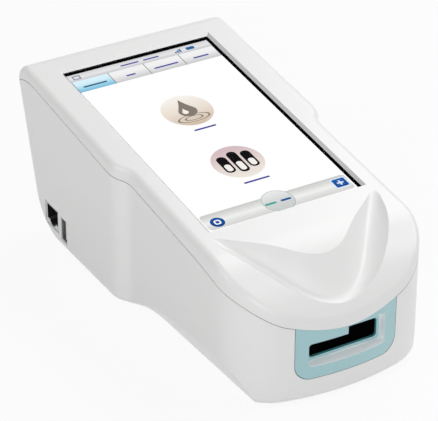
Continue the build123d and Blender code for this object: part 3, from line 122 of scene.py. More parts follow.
# Foot strip with its keys
FOOTER_HEIGHT = 12.6 * MM
FOOTER_REAR = -63.7 * MM
FOOTER_INSET = 0.8 * MM
HOME_SPAN = (-77.0 * MM, -61.0 * MM)
BLUE_SPAN = (-74.0 * MM, -66.0 * MM)
HOME_D = 17.6 * MM
HOME_RIM = 0.5 * MM
HOME_PLACE = (0.7 * MM, -69.1 * MM)
HOME_LEFT_MARK_PLACE = (-4.0 * MM, -69.7 * MM)
HOME_RIGHT_MARK_PLACE = (4.8 * MM, -69.7 * MM)
ICON_D = 7.6 * MM
LEFT_KEY_PLACE = (-35.5 * MM, -71.4 * MM)
RIGHT_KEY_PLACE = (37.0 * MM, -69.4 * MM)

# Cartridge slot in the bezel, with a painted highlight on its sloping mouth and painted shade on its straight
# walls: how far its walls lie inside the bezel's outline. A wall is straight where its normal's share along Y
# is under the first value, and the bezel's face where it is over the second.
SLOT_INSET = 8 * MM
SLOT_TOP_INSET = 2 * MM
STRAIGHT_SLOPE = 0.12
FACE_SLOPE = 0.6

# Rims that face a seam, which get painted shade: the lowest point of the parting line, how far its rim may
# lean, the gap round the bezel and how far from its middle the bezel's perimeter starts
SEAM_LOW = 38 * MM
SEAM_SLOPE = 0.3
BEZEL_GAP = 1 * MM
BEZEL_REACH = 12 * MM

# Network socket: a face whose normal's upward share is over this value is its floor, which stays bare metal;
# then its sprung wires
SOCKET_FLOOR_SLOPE = 0.5
WIRE_COUNT = 8
WIRE_STEP = 1.02 * MM
WIRE_WIDTH = 0.35 * MM
WIRE_HIGH = NETWORK_LOW.z + 11.5 * MM
WIRE_FRONT = NETWORK_LOW.x + 2.0 * MM
WIRE_REAR = NETWORK_LOW.x + 11.5 * MM
WIRE_BEND = (WIRE_FRONT + 0.6 * MM, WIRE_HIGH - 1.0 * MM)
WIRE_TIP = (WIRE_REAR - 2.0 * MM, WIRE_HIGH - 4.2 * MM)

# Tongue of the data socket and the flat springs on it
TONGUE_REAR = DATA_MIDDLE.y - 0.3 * MM
TONGUE_FRONT = DATA_MIDDLE.y - 2.5 * MM
TONGUE_END = 1.3 * MM
SPRING_COUNT = 4
SPRING_STEP = 2.5 * MM
SPRING_X = DATA_LOW.x + 6.35 * MM
SPRING_SIZE = (8.3 * MM, 0.2 * MM, 1.0 * MM)
SPRING_EDGE = 0.06 * MM

# Thread on the lead screw, round the axis that the screw's joint turns about
SCREW_JOINT = next(joint for joint in frame["joints"] if joint["name"] == "screw_turn")
SCREW_AXIS = Vector(SCREW_JOINT["pos_m"])
THREAD_LEAD = 3.0 * MM
THREAD_ROOT_D = 3.9 * MM
THREAD_CREST_D = 5.2 * MM
THREAD_FRONT = -84.5 * MM
THREAD_REAR = -26.0 * MM
THREAD_HALF_WIDTH = 0.72 * MM
THREAD_CREST_SHARE = 0.45
THREAD_STEPS = 24

# Camera, fitted to the photograph: its place, where it looks and where its right side is
CAMERA_PLACE = Vector((-0.5278, -0.8998, 0.6681))
CAMERA_AHEAD = Vector((0.43108, 0.74131, -0.51444))
CAMERA_RIGHT = Vector((0.86447, -0.50269, 0.0))
LENS = 192.85
SENSOR = 36.0

# Soft boxes: where each one stands, and its power in watts
LAMPS = {
    "lamp_front": ((-0.6, -1.4, 0.5), 7.5),
    "lamp_right": ((1.0, -0.35, 1.05), 6.6),
    "lamp_left": ((-1.1, 0.0, 1.0), 5.8),
    "lamp_rear": ((0.8, 0.5, 1.1), 7.2),
}
LAMP_SIZE = 0.8
LAMP_AIM = Vector((0, 0, 0.04))

# Floor and surroundings: how much of the floor's white is glow, and how much light the surroundings cast
FLOOR_HALF = 6.0
FLOOR_GLOW_SHARE = 0.9
WORLD_LIGHT = 0.16

# Sides of a disc and steps of a rounded corner in the picture
DISC_SIDES = 48
CORNER_STEPS = 5


# Materials

# How far the roughness drifts across a moulding and across worn metal
GLOSS_DRIFT = 0.02
WEAR_DRIFT = 0.06

# The wave texture multiplies its coordinates by this number
WAVE_FACTOR = 20

# An area of one tone runs past the picture to the front and rear
SCREEN_HALF = 0.1


def srgb(hex_code):
    """Linear colour of an sRGB hex value."""
    channels = [int(hex_code[i:i + 2], 16) / 255 for i in (0, 2, 4)]
    linear = [c / 12.92 if c <= 0.04045 else ((c + 0.055) / 1.055) ** 2.4 for c in channels]
    return (*linear, 1.0)


def add(tree, kind, values=None, links=None, **properties):
    """Add one node with its properties, the values of its inputs, and the outputs that feed them."""
    node = tree.nodes.new("ShaderNode" + kind)
    for name, value in properties.items():
        setattr(node, name, value)
    for name, value in (values or {}).items():
        node.inputs[name].default_value = value
    for name, output in (links or {}).items():
        tree.links.new(output, node.inputs[name])
    return node


def new_material(name):
    """Empty material and its node tree."""
    material = bpy.data.materials.new(name)
    material.use_nodes = True
    material.node_tree.nodes.clear()
    return material, material.node_tree


def per_mm(size_mm):
    """Scale at which a pattern on Object coordinates repeats about once in a size in millimetres."""
    return 1.0 / (size_mm * MM)


def two_tones(tree, factor, first, second):
    """Colour between two tones by a factor."""
    ramp = add(tree, "ValToRGB", links={"Fac": factor})
    ramp.color_ramp.elements[0].color = first
    ramp.color_ramp.elements[1].color = second
    return ramp.outputs["Color"]


def span(tree, value, low, high, source_low=0.0, source_high=1.0):
    """Value run from one range to another."""
    limits = {"From Min": source_low, "From Max": source_high, "To Min": low, "To Max": high}
    return add(tree, "MapRange", limits, {"Value": value}).outputs["Result"]


def finish_surface(tree, shader):
    """Link a shader to the material's output."""
    add(tree, "OutputMaterial", links={"Surface": shader.outputs[0]})


def moulded(name, tone, tone_shift, roughness, grain_mm, grain_height_mm, values=None):
    """Moulded plastic: a gloss and a tone that drift faintly, and the mould's grain, drawn coarse to show."""
    material, tree = new_material(name)
    place = add(tree, "TexCoord").outputs["Object"]
    cloud = add(tree, "TexNoise", {"Scale": per_mm(45), "Detail": 2.0}, {"Vector": place})
    grain = add(tree, "TexNoise", {"Scale": per_mm(grain_mm), "Detail": 3.0}, {"Vector": place})
    height = {"Strength": 0.35, "Distance": grain_height_mm * MM}
    bump = add(tree, "Bump", height, {"Height": grain.outputs["Fac"]})
    shader = add(
        tree, "BsdfPrincipled", {"IOR": 1.53, **(values or {})},
        {
            "Base Color": two_tones(tree, cloud.outputs["Fac"], srgb(tone), srgb(tone_shift)),
            "Roughness": span(tree, cloud.outputs["Fac"], roughness - GLOSS_DRIFT, roughness + GLOSS_DRIFT),
            "Normal": bump.outputs["Normal"],
        },
    )
    finish_surface(tree, shader)
    return material


def worked_metal(name, tone, tone_shift, roughness, lines_mm, direction):
    """Bare metal with the lines that drawing, turning or grinding leave, drawn coarse enough to show."""
    material, tree = new_material(name)
    place = add(tree, "TexCoord").outputs["Object"]
    waves = {"Scale": per_mm(lines_mm) / WAVE_FACTOR, "Distortion": 1.5, "Detail": 3.0}
    lines = add(tree, "TexWave", waves, {"Vector": place}, bands_direction=direction)
    cloud = add(tree, "TexNoise", {"Scale": per_mm(6), "Detail": 4.0}, {"Vector": place})
    bump = add(tree, "Bump", {"Strength": 0.15, "Distance": 0.01 * MM}, {"Height": lines.outputs["Fac"]})
    shader = add(
        tree, "BsdfPrincipled", {"Metallic": 1.0},
        {
            "Base Color": two_tones(tree, cloud.outputs["Fac"], srgb(tone), srgb(tone_shift)),
            "Roughness": span(
                tree, cloud.outputs["Fac"], roughness - WEAR_DRIFT, roughness + WEAR_DRIFT, 0.3, 0.7,
            ),
            "Normal": bump.outputs["Normal"],
        },
    )
    finish_surface(tree, shader)
    return material


def spangled_zinc():
    """Hot-dip galvanised sheet: crystals a few millimetres across, each with its own gloss and tone."""
    material, tree = new_material("galvanised steel sheet, spangled")
    place = add(tree, "TexCoord").outputs["Object"]
    crystal = add(tree, "TexVoronoi", {"Scale": per_mm(3.5)}, {"Vector": place})
    grey = add(tree, "RGBToBW", links={"Color": crystal.outputs["Color"]})
    shader = add(
        tree, "BsdfPrincipled", {"Metallic": 1.0},
        {
            "Base Color": two_tones(tree, grey.outputs["Val"], srgb("A9ADB0"), srgb("CDD0D2")),
            "Roughness": span(tree, grey.outputs["Val"], 0.30, 0.46),
        },
    )
    finish_surface(tree, shader)
    return material


def solder_resist():
    """Glass-fibre board under green resist: tracks show as paler lines, 1.2 mm apart, coarser than real."""
    material, tree = new_material("FR-4 board, green solder resist")
    place = add(tree, "TexCoord").outputs["Object"]
    pattern = {
        "Scale": 1.0, "Brick Width": 9.0 * MM, "Row Height": 1.2 * MM, "Mortar Size": 0.18 * MM,
        "Color1": srgb("0E5A38"), "Color2": srgb("0B4F31"), "Mortar": srgb("2B8A5C"),
    }
    tracks = add(tree, "TexBrick", pattern, {"Vector": place})
    bump = add(tree, "Bump", {"Strength": 0.2, "Distance": 0.03 * MM}, {"Height": tracks.outputs["Fac"]})
    shader = add(
        tree, "BsdfPrincipled", {"Roughness": 0.32, "IOR": 1.52},
        {"Base Color": tracks.outputs["Color"], "Normal": bump.outputs["Normal"]},
    )
    finish_surface(tree, shader)
    return material


def cover_glass():
    """Cover glass, anti-reflective: clear, with a weak hard gloss and the faint smears that fingers leave."""
    material, tree = new_material("soda-lime cover glass, anti-reflective")
    place = add(tree, "TexCoord").outputs["Object"]
    smear = add(tree, "TexNoise", {"Scale": per_mm(22), "Detail": 5.0}, {"Vector": place})
    smeared = span(tree, smear.outputs["Fac"], 0.02, 0.09, 0.3, 0.8)
    gloss = add(tree, "BsdfGlossy", links={"Roughness": smeared})
    clear = add(tree, "BsdfTransparent")
    edge = add(tree, "Fresnel", {"IOR": 1.04})
    parts = {"Fac": edge.outputs[0], 1: clear.outputs[0], 2: gloss.outputs[0]}
    finish_surface(tree, add(tree, "MixShader", links=parts))
    return material


def soft_foam():
    """Closed-cell foam: dull, black, pitted by cells half a millimetre across."""
    material, tree = new_material("polyethylene foam, black")
    place = add(tree, "TexCoord").outputs["Object"]
    cells = add(tree, "TexVoronoi", {"Scale": per_mm(0.6)}, {"Vector": place})
    bump = add(tree, "Bump", {"Strength": 0.5, "Distance": 0.1 * MM}, {"Height": cells.outputs["Distance"]})
    shader = add(
        tree, "BsdfPrincipled", {"Base Color": srgb("161616"), "Specular IOR Level": 0.3},
        {"Roughness": span(tree, cells.outputs["Distance"], 0.8, 0.95), "Normal": bump.outputs["Normal"]},
    )
    finish_surface(tree, shader)
    return material


def lit(name, tones, front_v=-SCREEN_HALF, rear_v=SCREEN_HALF):
    """Lit area of a liquid crystal picture, its tones spread evenly from its front to its rear."""
    material, tree = new_material(name)
    place = add(tree, "TexCoord").outputs["Object"]
    along = add(tree, "SeparateXYZ", links={"Vector": place})
    ends = [SCREEN_CENTRE.y + v * cos(SCREEN_TILT) for v in (front_v, rear_v)]
    ramp = add(tree, "ValToRGB", links={"Fac": span(tree, along.outputs["Y"], 0.0, 1.0, *ends)})
    stops = ramp.color_ramp.elements
    stops[0].color = srgb(tones[0])
    stops[1].color = srgb(tones[-1])
    for count, tone in enumerate(tones[1:-1], 1):
        stops.new(count / (len(tones) - 1)).color = srgb(tone)
    dull = {"Base Color": srgb("020202"), "Roughness": 0.8, "Specular IOR Level": 0.0}
    shader = add(
        tree, "BsdfPrincipled", {**dull, "Emission Strength": 1.0}, {"Emission Color": ramp.outputs["Color"]},
    )
    finish_surface(tree, shader)
    return material


NO_GLOSS = {"Specular IOR Level": 0.0}
CLEAR_COAT = {"Coat Weight": 1.0, "Coat Roughness": 0.12}

# Shells: an even, soft sheen that shows the curves of the nose, no sparkle
SHELL_ABS = moulded("ABS, spark-eroded, white", "EFEFEF", "F1F1F0", 0.3, 0.9, 0.004)
# Bezel: a harder gloss than the shells, as if under a thin clear coat
BEZEL_ABS = moulded("ABS, polished, pale teal", "9FCBD1", "A4CFD5", 0.25, 0.9, 0.004, CLEAR_COAT)
# Inner mouldings, guide and flap: black that stays black, so the slot looks deep
BLACK_ABS = moulded("ABS, moulded, black", "0C0C0D", "121213", 0.5, 0.7, 0.02)
GUIDE_PPO = moulded(
    "glass-filled PPO, black", "050506", "080809", 0.75, 0.4, 0.03, {"Specular IOR Level": 0.05},
)
FLAP_PPO = moulded("glass-filled PPO, matt black", "030303", "050505", 0.85, 0.5, 0.02, NO_GLOSS)
# Gear: waxy cream with light inside it
NYLON = moulded("nylon 66, natural", "E6E1D0", "DED8C4", 0.38, 0.8, 0.01, {"Subsurface Weight": 0.1})
# Carriage and head: clean off-white, slightly slick
ACETAL = moulded("acetal, white", "EDECE8", "E6E5DF", 0.3, 0.8, 0.008)
# Battery: tight glossy film with long shallow ripples
SLEEVE_PVC = moulded("PVC shrink sleeve, blue", "1F4E94", "1B4687", 0.22, 6.0, 0.08)
# Feet: dull dark grey, dusty at the edges of the light
FOOT_RUBBER = moulded("SBR rubber, moulded", "1A1A1A", "222222", 0.75, 0.5, 0.04)
# Button: smooth black cap with a small sharp highlight
BUTTON_ABS = moulded("ABS, polished, black", "0E0E0F", "131314", 0.2, 3.0, 0.004)
ZINC_SHEET = spangled_zinc()
# Rods, screw and pin: bright, fine rings round the axis
GROUND_STEEL = worked_metal("ground bearing steel", "B9BABC", "C6C7C9", 0.22, 0.3, "Y")
# Screws: cool silver, a little cloudy
PLATED_STEEL = worked_metal("zinc-plated screw steel", "B4B8BC", "C9CCCE", 0.3, 0.5, "Z")
# Motor can, display can and socket shields: soft grey metal with drawing lines
DRAWN_STEEL = worked_metal("tin-plated drawn steel", "B2B4B6", "C2C4C5", 0.34, 0.6, "X")
# Bushes and pinion: warm yellow with turning rings
BRASS = worked_metal("turned brass", "C9A45A", "D6B36B", 0.25, 0.4, "Y")
# Contacts: rich yellow, sharp highlights
GOLD = worked_metal("hard gold plating", "D8B25E", "E0BD6C", 0.2, 0.3, "Z")
# Heater plate: pale grey with cutter lines
ALUMINIUM = worked_metal("milled aluminium", "C8CACC", "D5D6D8", 0.3, 0.5, "Y")
BOARD = solder_resist()
GLASS = cover_glass()
FOAM = soft_foam()

CAD_FINISHES = [
    (SHELL_ABS, ["lower_housing", "upper_cover", "battery_door"]),
    (BEZEL_ABS, ["front_bezel"]),
    (BLACK_ABS, ["cartridge_switch", "power_switch", "dc_inlet", "speaker"]),
    (GUIDE_PPO, ["cartridge_guide"]),
    (FLAP_PPO, ["slot_shutter"]),
    (NYLON, ["screw_gear"]),
    (ACETAL, ["carriage", "contact_head"]),
    (SLEEVE_PVC, ["battery_pack"]),
    (FOOT_RUBBER, ["rubber_feet"]),
    (BUTTON_ABS, ["power_button"]),
    (ZINC_SHEET, ["chassis", "display_bracket"]),
    (GROUND_STEEL, ["shutter_pin", "guide_rods", "lead_screw", "motor_shaft"]),
    (PLATED_STEEL, ["motor_screws", "display_screws", "board_screws", "door_screws", "panel_nuts"]),
    (PLATED_STEEL, ["case_screws", "chassis_screws"]),
    (DRAWN_STEEL, ["drive_motor", "display_panel", "ethernet_jack", "usb_jack"]),
    (BRASS, ["screw_bushes", "motor_pinion"]),
    (GOLD, ["contact_pins"]),
    (ALUMINIUM, ["heater_plate"]),
    (BOARD, ["main_board"]),
    (GLASS, ["touch_glass"]),
    (FOAM, ["display_gasket"]),
]


def dress_cad_nodes():
    """Give every CAD node the finish of its real material."""
    for material, names in CAD_FINISHES:
        for name in names:
            mesh = frame["nodes"][name].data
            mesh.materials.clear()
            mesh.materials.append(material)


def second_finish(name, material, chosen):
    """Give some faces of a CAD node a finish of their own; chosen takes a face's centre and normal."""
    mesh = frame["nodes"][name].data
    mesh.materials.append(material)
    for face in mesh.polygons:
        if chosen(face.center, face.normal):
            face.material_index = len(mesh.materials) - 1


def paint_seam_shade():
    """Painted shade on the rims that face the seams, so the parting line and the bezel's gap read as dark
    lines.
    """
    # Mid grey is painted shade, standing in for the unlit rims deep in the seams
    rim = moulded("ABS, white, painted seam shade", "5A5A5C", "636365", 0.8, 0.6, 0.01)
    middle_z = (BEZEL_LOW.z + BEZEL_HIGH.z) / 2

    def on_parting_line(at, n):
        return at.z > SEAM_LOW and n.z > SEAM_SLOPE

    def round_bezel(at, n):
        across = BEZEL_LOW.x - BEZEL_GAP < at.x < BEZEL_HIGH.x + BEZEL_GAP
        return abs(n.y) < FACE_SLOPE and across and at.y < BEZEL_HIGH.y and BEZEL_LOW.z - BEZEL_GAP < at.z

    def on_perimeter(at, n):
        return abs(n.y) < FACE_SLOPE and n.x * at.x + n.z * (at.z - middle_z) > BEZEL_REACH

    second_finish("lower_housing", rim, lambda at, n: on_parting_line(at, n) or round_bezel(at, n))
    second_finish("front_bezel", rim, on_perimeter)


def paint_slot_highlight_and_shade():
    """Painted highlight on the glossy slopes at the slot's mouth, and painted shade on its straight walls
    behind them.
    """
    gloss = {"Coat Weight": 1.0, "Coat Roughness": 0.1}
    # Near-white copy of the teal bezel: painted highlight on the slopes of the slot's mouth
    funnel_highlight = moulded("ABS, polished teal, painted highlight", "F7FCFF", "FAFEFF", 0.2, 4.0, 0.002, gloss)
    # Darker copy of the teal: painted shade on the slot's straight walls behind the slopes
    sill_shade = moulded("ABS, polished teal, painted shade", "4E979C", "539CA1", 0.25, 4.0, 0.002)

    def in_slot(at, n):
        across = BEZEL_LOW.x + SLOT_INSET < at.x < BEZEL_HIGH.x - SLOT_INSET
        upward = BEZEL_LOW.z + SLOT_INSET < at.z < BEZEL_HIGH.z - SLOT_TOP_INSET
        return abs(n.y) < STRAIGHT_SLOPE and across and upward

    second_finish("front_bezel", funnel_highlight, lambda at, n: -FACE_SLOPE < n.y < -STRAIGHT_SLOPE)
    second_finish("front_bezel", sill_shade, in_slot)


def paint_window_shade():
    """Painted shade on the right edge of the screen's window, greyer than the shell, so the window reads as
    cut into it.
    """
    # Grey a little darker than the shell's white: painted shade on the window's right wall
    edge = moulded("ABS, spark-eroded, painted shade on window edge", "CDCDCD", "D0D0D0", 0.3, 0.9, 0.004)
    up = Vector((0, -sin(SCREEN_TILT), cos(SCREEN_TILT)))

    def beside_screen(at, n):
        depth = (SCREEN_CENTRE - at).dot(up)
        across = WINDOW_NEAR < at.x < WINDOW_FAR
        along = abs(at.y - SCREEN_CENTRE.y) < WINDOW_HALF
        return n.x < -WINDOW_LEAN and across and along and -WINDOW_SKIN < depth < WINDOW_DEPTH

    second_finish("upper_cover", edge, beside_screen)


def dress_sockets():
    """Inner walls of the network socket, a dull black insert, and the white tongue of the data socket."""
    insert = moulded("PBT insert, black", "050505", "080808", 0.7, 0.5, 0.01, {"Specular IOR Level": 0.2})
    tongue = moulded("LCP tongue, white", "F4F4F0", "EFEFEA", 0.4, 0.5, 0.004)

    def faces_inward(at, n):
        to_middle = NETWORK_MIDDLE - at
        return n.z < SOCKET_FLOOR_SLOPE and n.y * to_middle.y + n.z * to_middle.z > 0

    def on_tongue(at, n):
        upward = DATA_LOW.z + TONGUE_END < at.z < DATA_HIGH.z - TONGUE_END
        return TONGUE_FRONT < at.y < TONGUE_REAR and upward

    second_finish("ethernet_jack", insert, faces_inward)
    second_finish("usb_jack", tongue, on_tongue)


# Small builders

def as_piece(name, bm, material, body="case"):
    """Finished piece from a bmesh, riding on a body, with the material slot that it has in the library."""
    bmesh.ops.recalc_face_normals(bm, faces=bm.faces)
    mesh = bpy.data.meshes.new(name)
    bm.to_mesh(mesh)
    bm.free()
    mesh.materials.append(material)
    piece = bpy.data.objects.new(name, mesh)
    bpy.context.collection.objects.link(piece)
    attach(piece, body)


def on_screen(u, v, layer):
    """Matrix that lays a flat shape on the picture, u to the right and v to the rear, in metres."""
    turn = Matrix.Rotation(SCREEN_TILT, 4, "X")
    lift = IMAGE_LIFT + layer * LAYER - GLASS_UNDER
    return Matrix.Translation(SCREEN_CENTRE) @ turn @ Matrix.Translation((u, v, lift))


def thicken(bm):
    """Give a flat shape the thin body of a printed or lit layer."""
    top = bmesh.ops.extrude_face_region(bm, geom=bm.faces[:])
    raised = [g for g in top["geom"] if isinstance(g, bmesh.types.BMVert)]
    bmesh.ops.translate(bm, verts=raised, vec=(0, 0, IMAGE_THICK))


def panel_shape(width, length, corner):
    """Flat panel with rounded corners, as a bmesh."""
    bm = bmesh.new()
    bmesh.ops.create_grid(bm, x_segments=1, y_segments=1, size=0.5)
    bmesh.ops.scale(bm, verts=bm.verts, vec=(width, length, 1))
    if corner:
        bmesh.ops.bevel(
            bm, geom=bm.verts[:], offset=corner, segments=CORNER_STEPS, profile=0.5, affect="VERTICES",
            material=-1,
        )
    return bm


def disc_shape(diameter):
    """Flat disc, as a bmesh."""
    bm = bmesh.new()
    bmesh.ops.create_circle(bm, cap_ends=True, segments=DISC_SIDES, radius=diameter / 2)
    return bm


def drop_shape(diameter):
    """Flat drop: a disc drawn out to a point at its rear."""
    bm = disc_shape(diameter)
    for vert in bm.verts:
        rise = max(vert.co.y / (diameter / 2), 0.0)
        vert.co.y += diameter * DROP_TIP_SHARE * rise ** 3
        vert.co.x *= 1 - DROP_TAPER * rise ** 2
    return bm


def hollow_out(bm, rim):
    """Leave only an even rim of a flat shape that is one face."""
    middle = bm.faces[:]
    bmesh.ops.inset_region(bm, faces=middle, thickness=rim, use_boundary=True, use_even_offset=True)
    bmesh.ops.delete(bm, geom=middle, context="FACES")


def frame_shape(width, length, rim, corner):
    """Flat frame of an even width."""
    bm = panel_shape(width, length, corner)
    hollow_out(bm, rim)
    return bm


def show(name, bm, place, material):
    """Thin layer of the picture at a place: u, v and the number of its layer."""
    thicken(bm)
    bmesh.ops.transform(bm, matrix=on_screen(*place), verts=bm.verts)
    as_piece(name, bm, material)


# Picture on the screen, a plain menu of its own layout

def screen_ground():
    """Black print under the glass, which shows as a border round the picture."""
    width = GLASS_HIGH.x - GLASS_LOW.x - 2 * GROUND_INSET
    front = -(GLASS_HIGH.y - GLASS_LOW.y) / 2 + GROUND_INSET
    bm = panel_shape(width, GROUND_REAR - front, GROUND_CORNER)
    ink = moulded("screen print, black", "030303", "050505", 0.8, 2.0, 0.001, NO_GLOSS)
    show("screen_ground", bm, (0, (GROUND_REAR + front) / 2, 0), ink)


def screen_picture():
    """Menu: status strip, tabs, two round pictures with captions, footer with three keys."""
    white = lit("liquid crystal, white", ["FFFFFF"])
    ink = lit("liquid crystal, ink blue", ["46469C"])
    key_blue = lit("liquid crystal, key blue", ["12468E", "1D5CA8"], *BLUE_SPAN)
    middle = PICTURE_REAR - SCREEN_LENGTH / 2
    show("screen_field", panel_shape(SCREEN_WIDTH, SCREEN_LENGTH, 0), (0, middle, 1), white)
    status_strip(ink)
    tabs(ink)
    drop_picture(ink)
    vial_picture(ink)
    footer(key_blue, white)


def status_strip(ink):
    """Grey strip along the picture's rear: a small window, two bars for words, signal bars and a cell."""
    front = PICTURE_REAR - STRIP_HEIGHT
    middle = (PICTURE_REAR + front) / 2
    grey = lit("liquid crystal, strip grey", ["C4C4C9", "E6E6E8", "D6D6D9"], front, PICTURE_REAR)
    mark_grey = lit("liquid crystal, mark grey", ["8A94A6"])
    mark_blue = lit("liquid crystal, mark blue", ["2C62A0"])
    show("screen_strip", panel_shape(SCREEN_WIDTH, STRIP_HEIGHT, 0), (0, middle, 2), grey)
    window = frame_shape(width=4.6 * MM, length=3.6 * MM, rim=0.8 * MM, corner=0.3 * MM)
    show("strip_window", window, (STRIP_WINDOW_U, middle, 3), mark_grey)
    for count, (u, length) in enumerate(STRIP_WORDS):
        bar = panel_shape(width=length, length=1.1 * MM, corner=0.5 * MM)
        show(f"strip_mark_{count + 1}", bar, (u, middle, 3), ink)
    for count in range(SIGNAL_COUNT):
        height = SIGNAL_LOWEST + SIGNAL_RISE * count
        bar = panel_shape(width=1.1 * MM, length=height, corner=0.2 * MM)
        place = (SIGNAL_U + SIGNAL_STEP * count, middle - SIGNAL_FOOT + height / 2, 3)
        show(f"strip_bar_{count + 1}", bar, place, mark_blue)
    cell = panel_shape(width=5.0 * MM, length=2.6 * MM, corner=0.6 * MM)
    show("strip_cell", cell, (CELL_U, middle, 3), mark_blue)


def tabs(ink):
    """Tabs with a bar for a word on each, the first one chosen; thin dark lines part them."""
    rear = PICTURE_REAR - STRIP_HEIGHT
    front = rear - TAB_HEIGHT
    middle = (rear + front) / 2
    rule_grey = lit("liquid crystal, rule grey", ["8C8C92"])
    tab_grey = lit("liquid crystal, tab grey", ["C9C9CC", "DEDEE0", "F1F1F1", "F2F2F2"], front, rear)
    tab_blue = lit("liquid crystal, tab blue", ["74B8DC", "A0D6EC", "D4EFF9", "DDF3FC"], front, rear)
    dark_ink = lit("liquid crystal, dark ink", ["2A5470"])
    show("tab_rules", panel_shape(SCREEN_WIDTH, TAB_HEIGHT, 0), (0, middle, 2), rule_grey)
    width = SCREEN_WIDTH / len(TAB_WORDS)
    for count, length in enumerate(TAB_WORDS):
        u = (count - (len(TAB_WORDS) - 1) / 2) * width
        tab = panel_shape(width - TAB_GAP, TAB_HEIGHT, corner=0.4 * MM)
        show(f"screen_tab_{count + 1}", tab, (u, middle, 3), tab_grey if count else tab_blue)
        bar = panel_shape(width=length, length=1.2 * MM, corner=0.5 * MM)
        show(f"tab_mark_{count + 1}", bar, (u, middle - TAB_WORD_DROP, 4), ink if count else dark_ink)


def drop_picture(ink):
    """Round picture of a drop over two rings of water, in warm greys."""
    sand = lit("liquid crystal, sand", ["D3BFAA", "EADFD2", "F6F1EA"], *SAND_SPAN)
    stone = lit("liquid crystal, stone grey", ["867C74"])
    pale = lit("liquid crystal, pale cream", ["F7F1E8"])
    u, v = DROP_PLACE
    show("drop_ground", disc_shape(PICTURE_D), (u, v, 2), sand)
    for count, size in enumerate(RING_SIZES):
        ring = disc_shape(size)
        hollow_out(ring, rim=1.1 * MM)
        bmesh.ops.scale(ring, verts=ring.verts, vec=(1, RING_FLATNESS, 1))
        show(f"drop_ring_{count + 1}", ring, (u, v - RING_DROP, 3), stone)
    show("drop_body", drop_shape(diameter=10.4 * MM), (u, v - DROP_SINK, 4), stone)
    show("drop_glint", drop_shape(diameter=3.4 * MM), (*GLINT_PLACE, 5), pale)
    caption = panel_shape(width=13 * MM, length=1.3 * MM, corner=0.6 * MM)
    show("drop_caption", caption, (*DROP_CAPTION_PLACE, 2), ink)


def vial_picture(ink):
    """Round picture of three sample vials, black on dusty pink."""
    pink = lit("liquid crystal, dusty pink", ["EEE8DE", "E4D6D2", "D6BFC3"], *PINK_SPAN)
    black = lit("liquid crystal, soft black", ["131215"])
    pale = lit("liquid crystal, vial white", ["F4F1EE"])
    u, v = VIAL_PLACE
    show("vial_ground", disc_shape(PICTURE_D), (u, v, 2), pink)
    for count, length in enumerate(VIAL_LENGTHS):
        vial_u = u + (count - 1) * VIAL_STEP
        vial = panel_shape(width=5.6 * MM, length=length, corner=2.6 * MM)
        show(f"vial_{count + 1}", vial, (vial_u, v, 3), black)
        window = panel_shape(width=3.4 * MM, length=length * VIAL_WINDOW_SHARE, corner=1.6 * MM)
        show(f"vial_window_{count + 1}", window, (vial_u, v - length * VIAL_WINDOW_DROP, 4), pale)
    caption = panel_shape(width=15 * MM, length=1.3 * MM, corner=0.6 * MM)
    show("vial_caption", caption, (*VIAL_CAPTION_PLACE, 2), ink)


def footer(key_blue, white):
    """Foot strip with a round key in its middle and a small key at each end."""
    front = FOOTER_REAR - FOOTER_HEIGHT
    middle = (FOOTER_REAR + front) / 2
    bands = ["D2D3D2", "DEDFDD", "F0F1EF", "DDDEDC", "C9CBC9"]
    grey = lit("liquid crystal, footer grey", bands, front, FOOTER_REAR)
    strip = panel_shape(SCREEN_WIDTH - 2 * FOOTER_INSET, FOOTER_HEIGHT, corner=2.2 * MM)
    show("footer_strip", strip, (0, middle, 2), grey)
    rim_grey = lit("liquid crystal, key rim grey", ["B2B8B8", "C2C7C6"], front, FOOTER_REAR)
    key_grey = lit("liquid crystal, key grey", ["C6CAC9", "D3D6D4", "E9EBEA"], *HOME_SPAN)
    teal = lit("liquid crystal, mark teal", ["3FA896"])
    show("home_rim", disc_shape(HOME_D), (*HOME_PLACE, 3), rim_grey)
    show("home_key", disc_shape(HOME_D - 2 * HOME_RIM), (*HOME_PLACE, 4), key_grey)
    left_mark = panel_shape(width=6.6 * MM, length=1.5 * MM, corner=0.7 * MM)
    show("home_mark_left", left_mark, (*HOME_LEFT_MARK_PLACE, 5), teal)
    right_mark = panel_shape(width=6.0 * MM, length=1.5 * MM, corner=0.7 * MM)
    show("home_mark_right", right_mark, (*HOME_RIGHT_MARK_PLACE, 5), key_blue)
    show("left_key", disc_shape(ICON_D), (*LEFT_KEY_PLACE, 3), key_blue)
    ring = frame_shape(width=3.6 * MM, length=3.6 * MM, rim=0.8 * MM, corner=1.2 * MM)
    show("left_key_ring", ring, (*LEFT_KEY_PLACE, 4), white)
    halo = lit("liquid crystal, halo blue", ["D6E4FA"])
    glow = panel_shape(width=8.8 * MM, length=8.4 * MM, corner=1.4 * MM)
    show("right_key_halo", glow, (*RIGHT_KEY_PLACE, 3), halo)
    key = panel_shape(width=7.2 * MM, length=6.8 * MM, corner=0.8 * MM)
    show("right_key", key, (*RIGHT_KEY_PLACE, 4), key_blue)
    show("right_key_plus", plus_shape(reach=3.8 * MM, bar=1.1 * MM), (*RIGHT_KEY_PLACE, 5), halo)


def plus_shape(reach, bar):
    """Flat plus sign, grown from a middle square."""
    bm = panel_shape(bar, bar, 0)
    for edge in bm.edges[:]:
        out = (edge.verts[0].co + edge.verts[1].co).normalized() * (reach - bar) / 2
        made = bmesh.ops.extrude_edge_only(bm, edges=[edge])
        moved = [g for g in made["geom"] if isinstance(g, bmesh.types.BMVert)]
        bmesh.ops.translate(bm, verts=moved, vec=out)
    return bm


# Contacts in the sockets

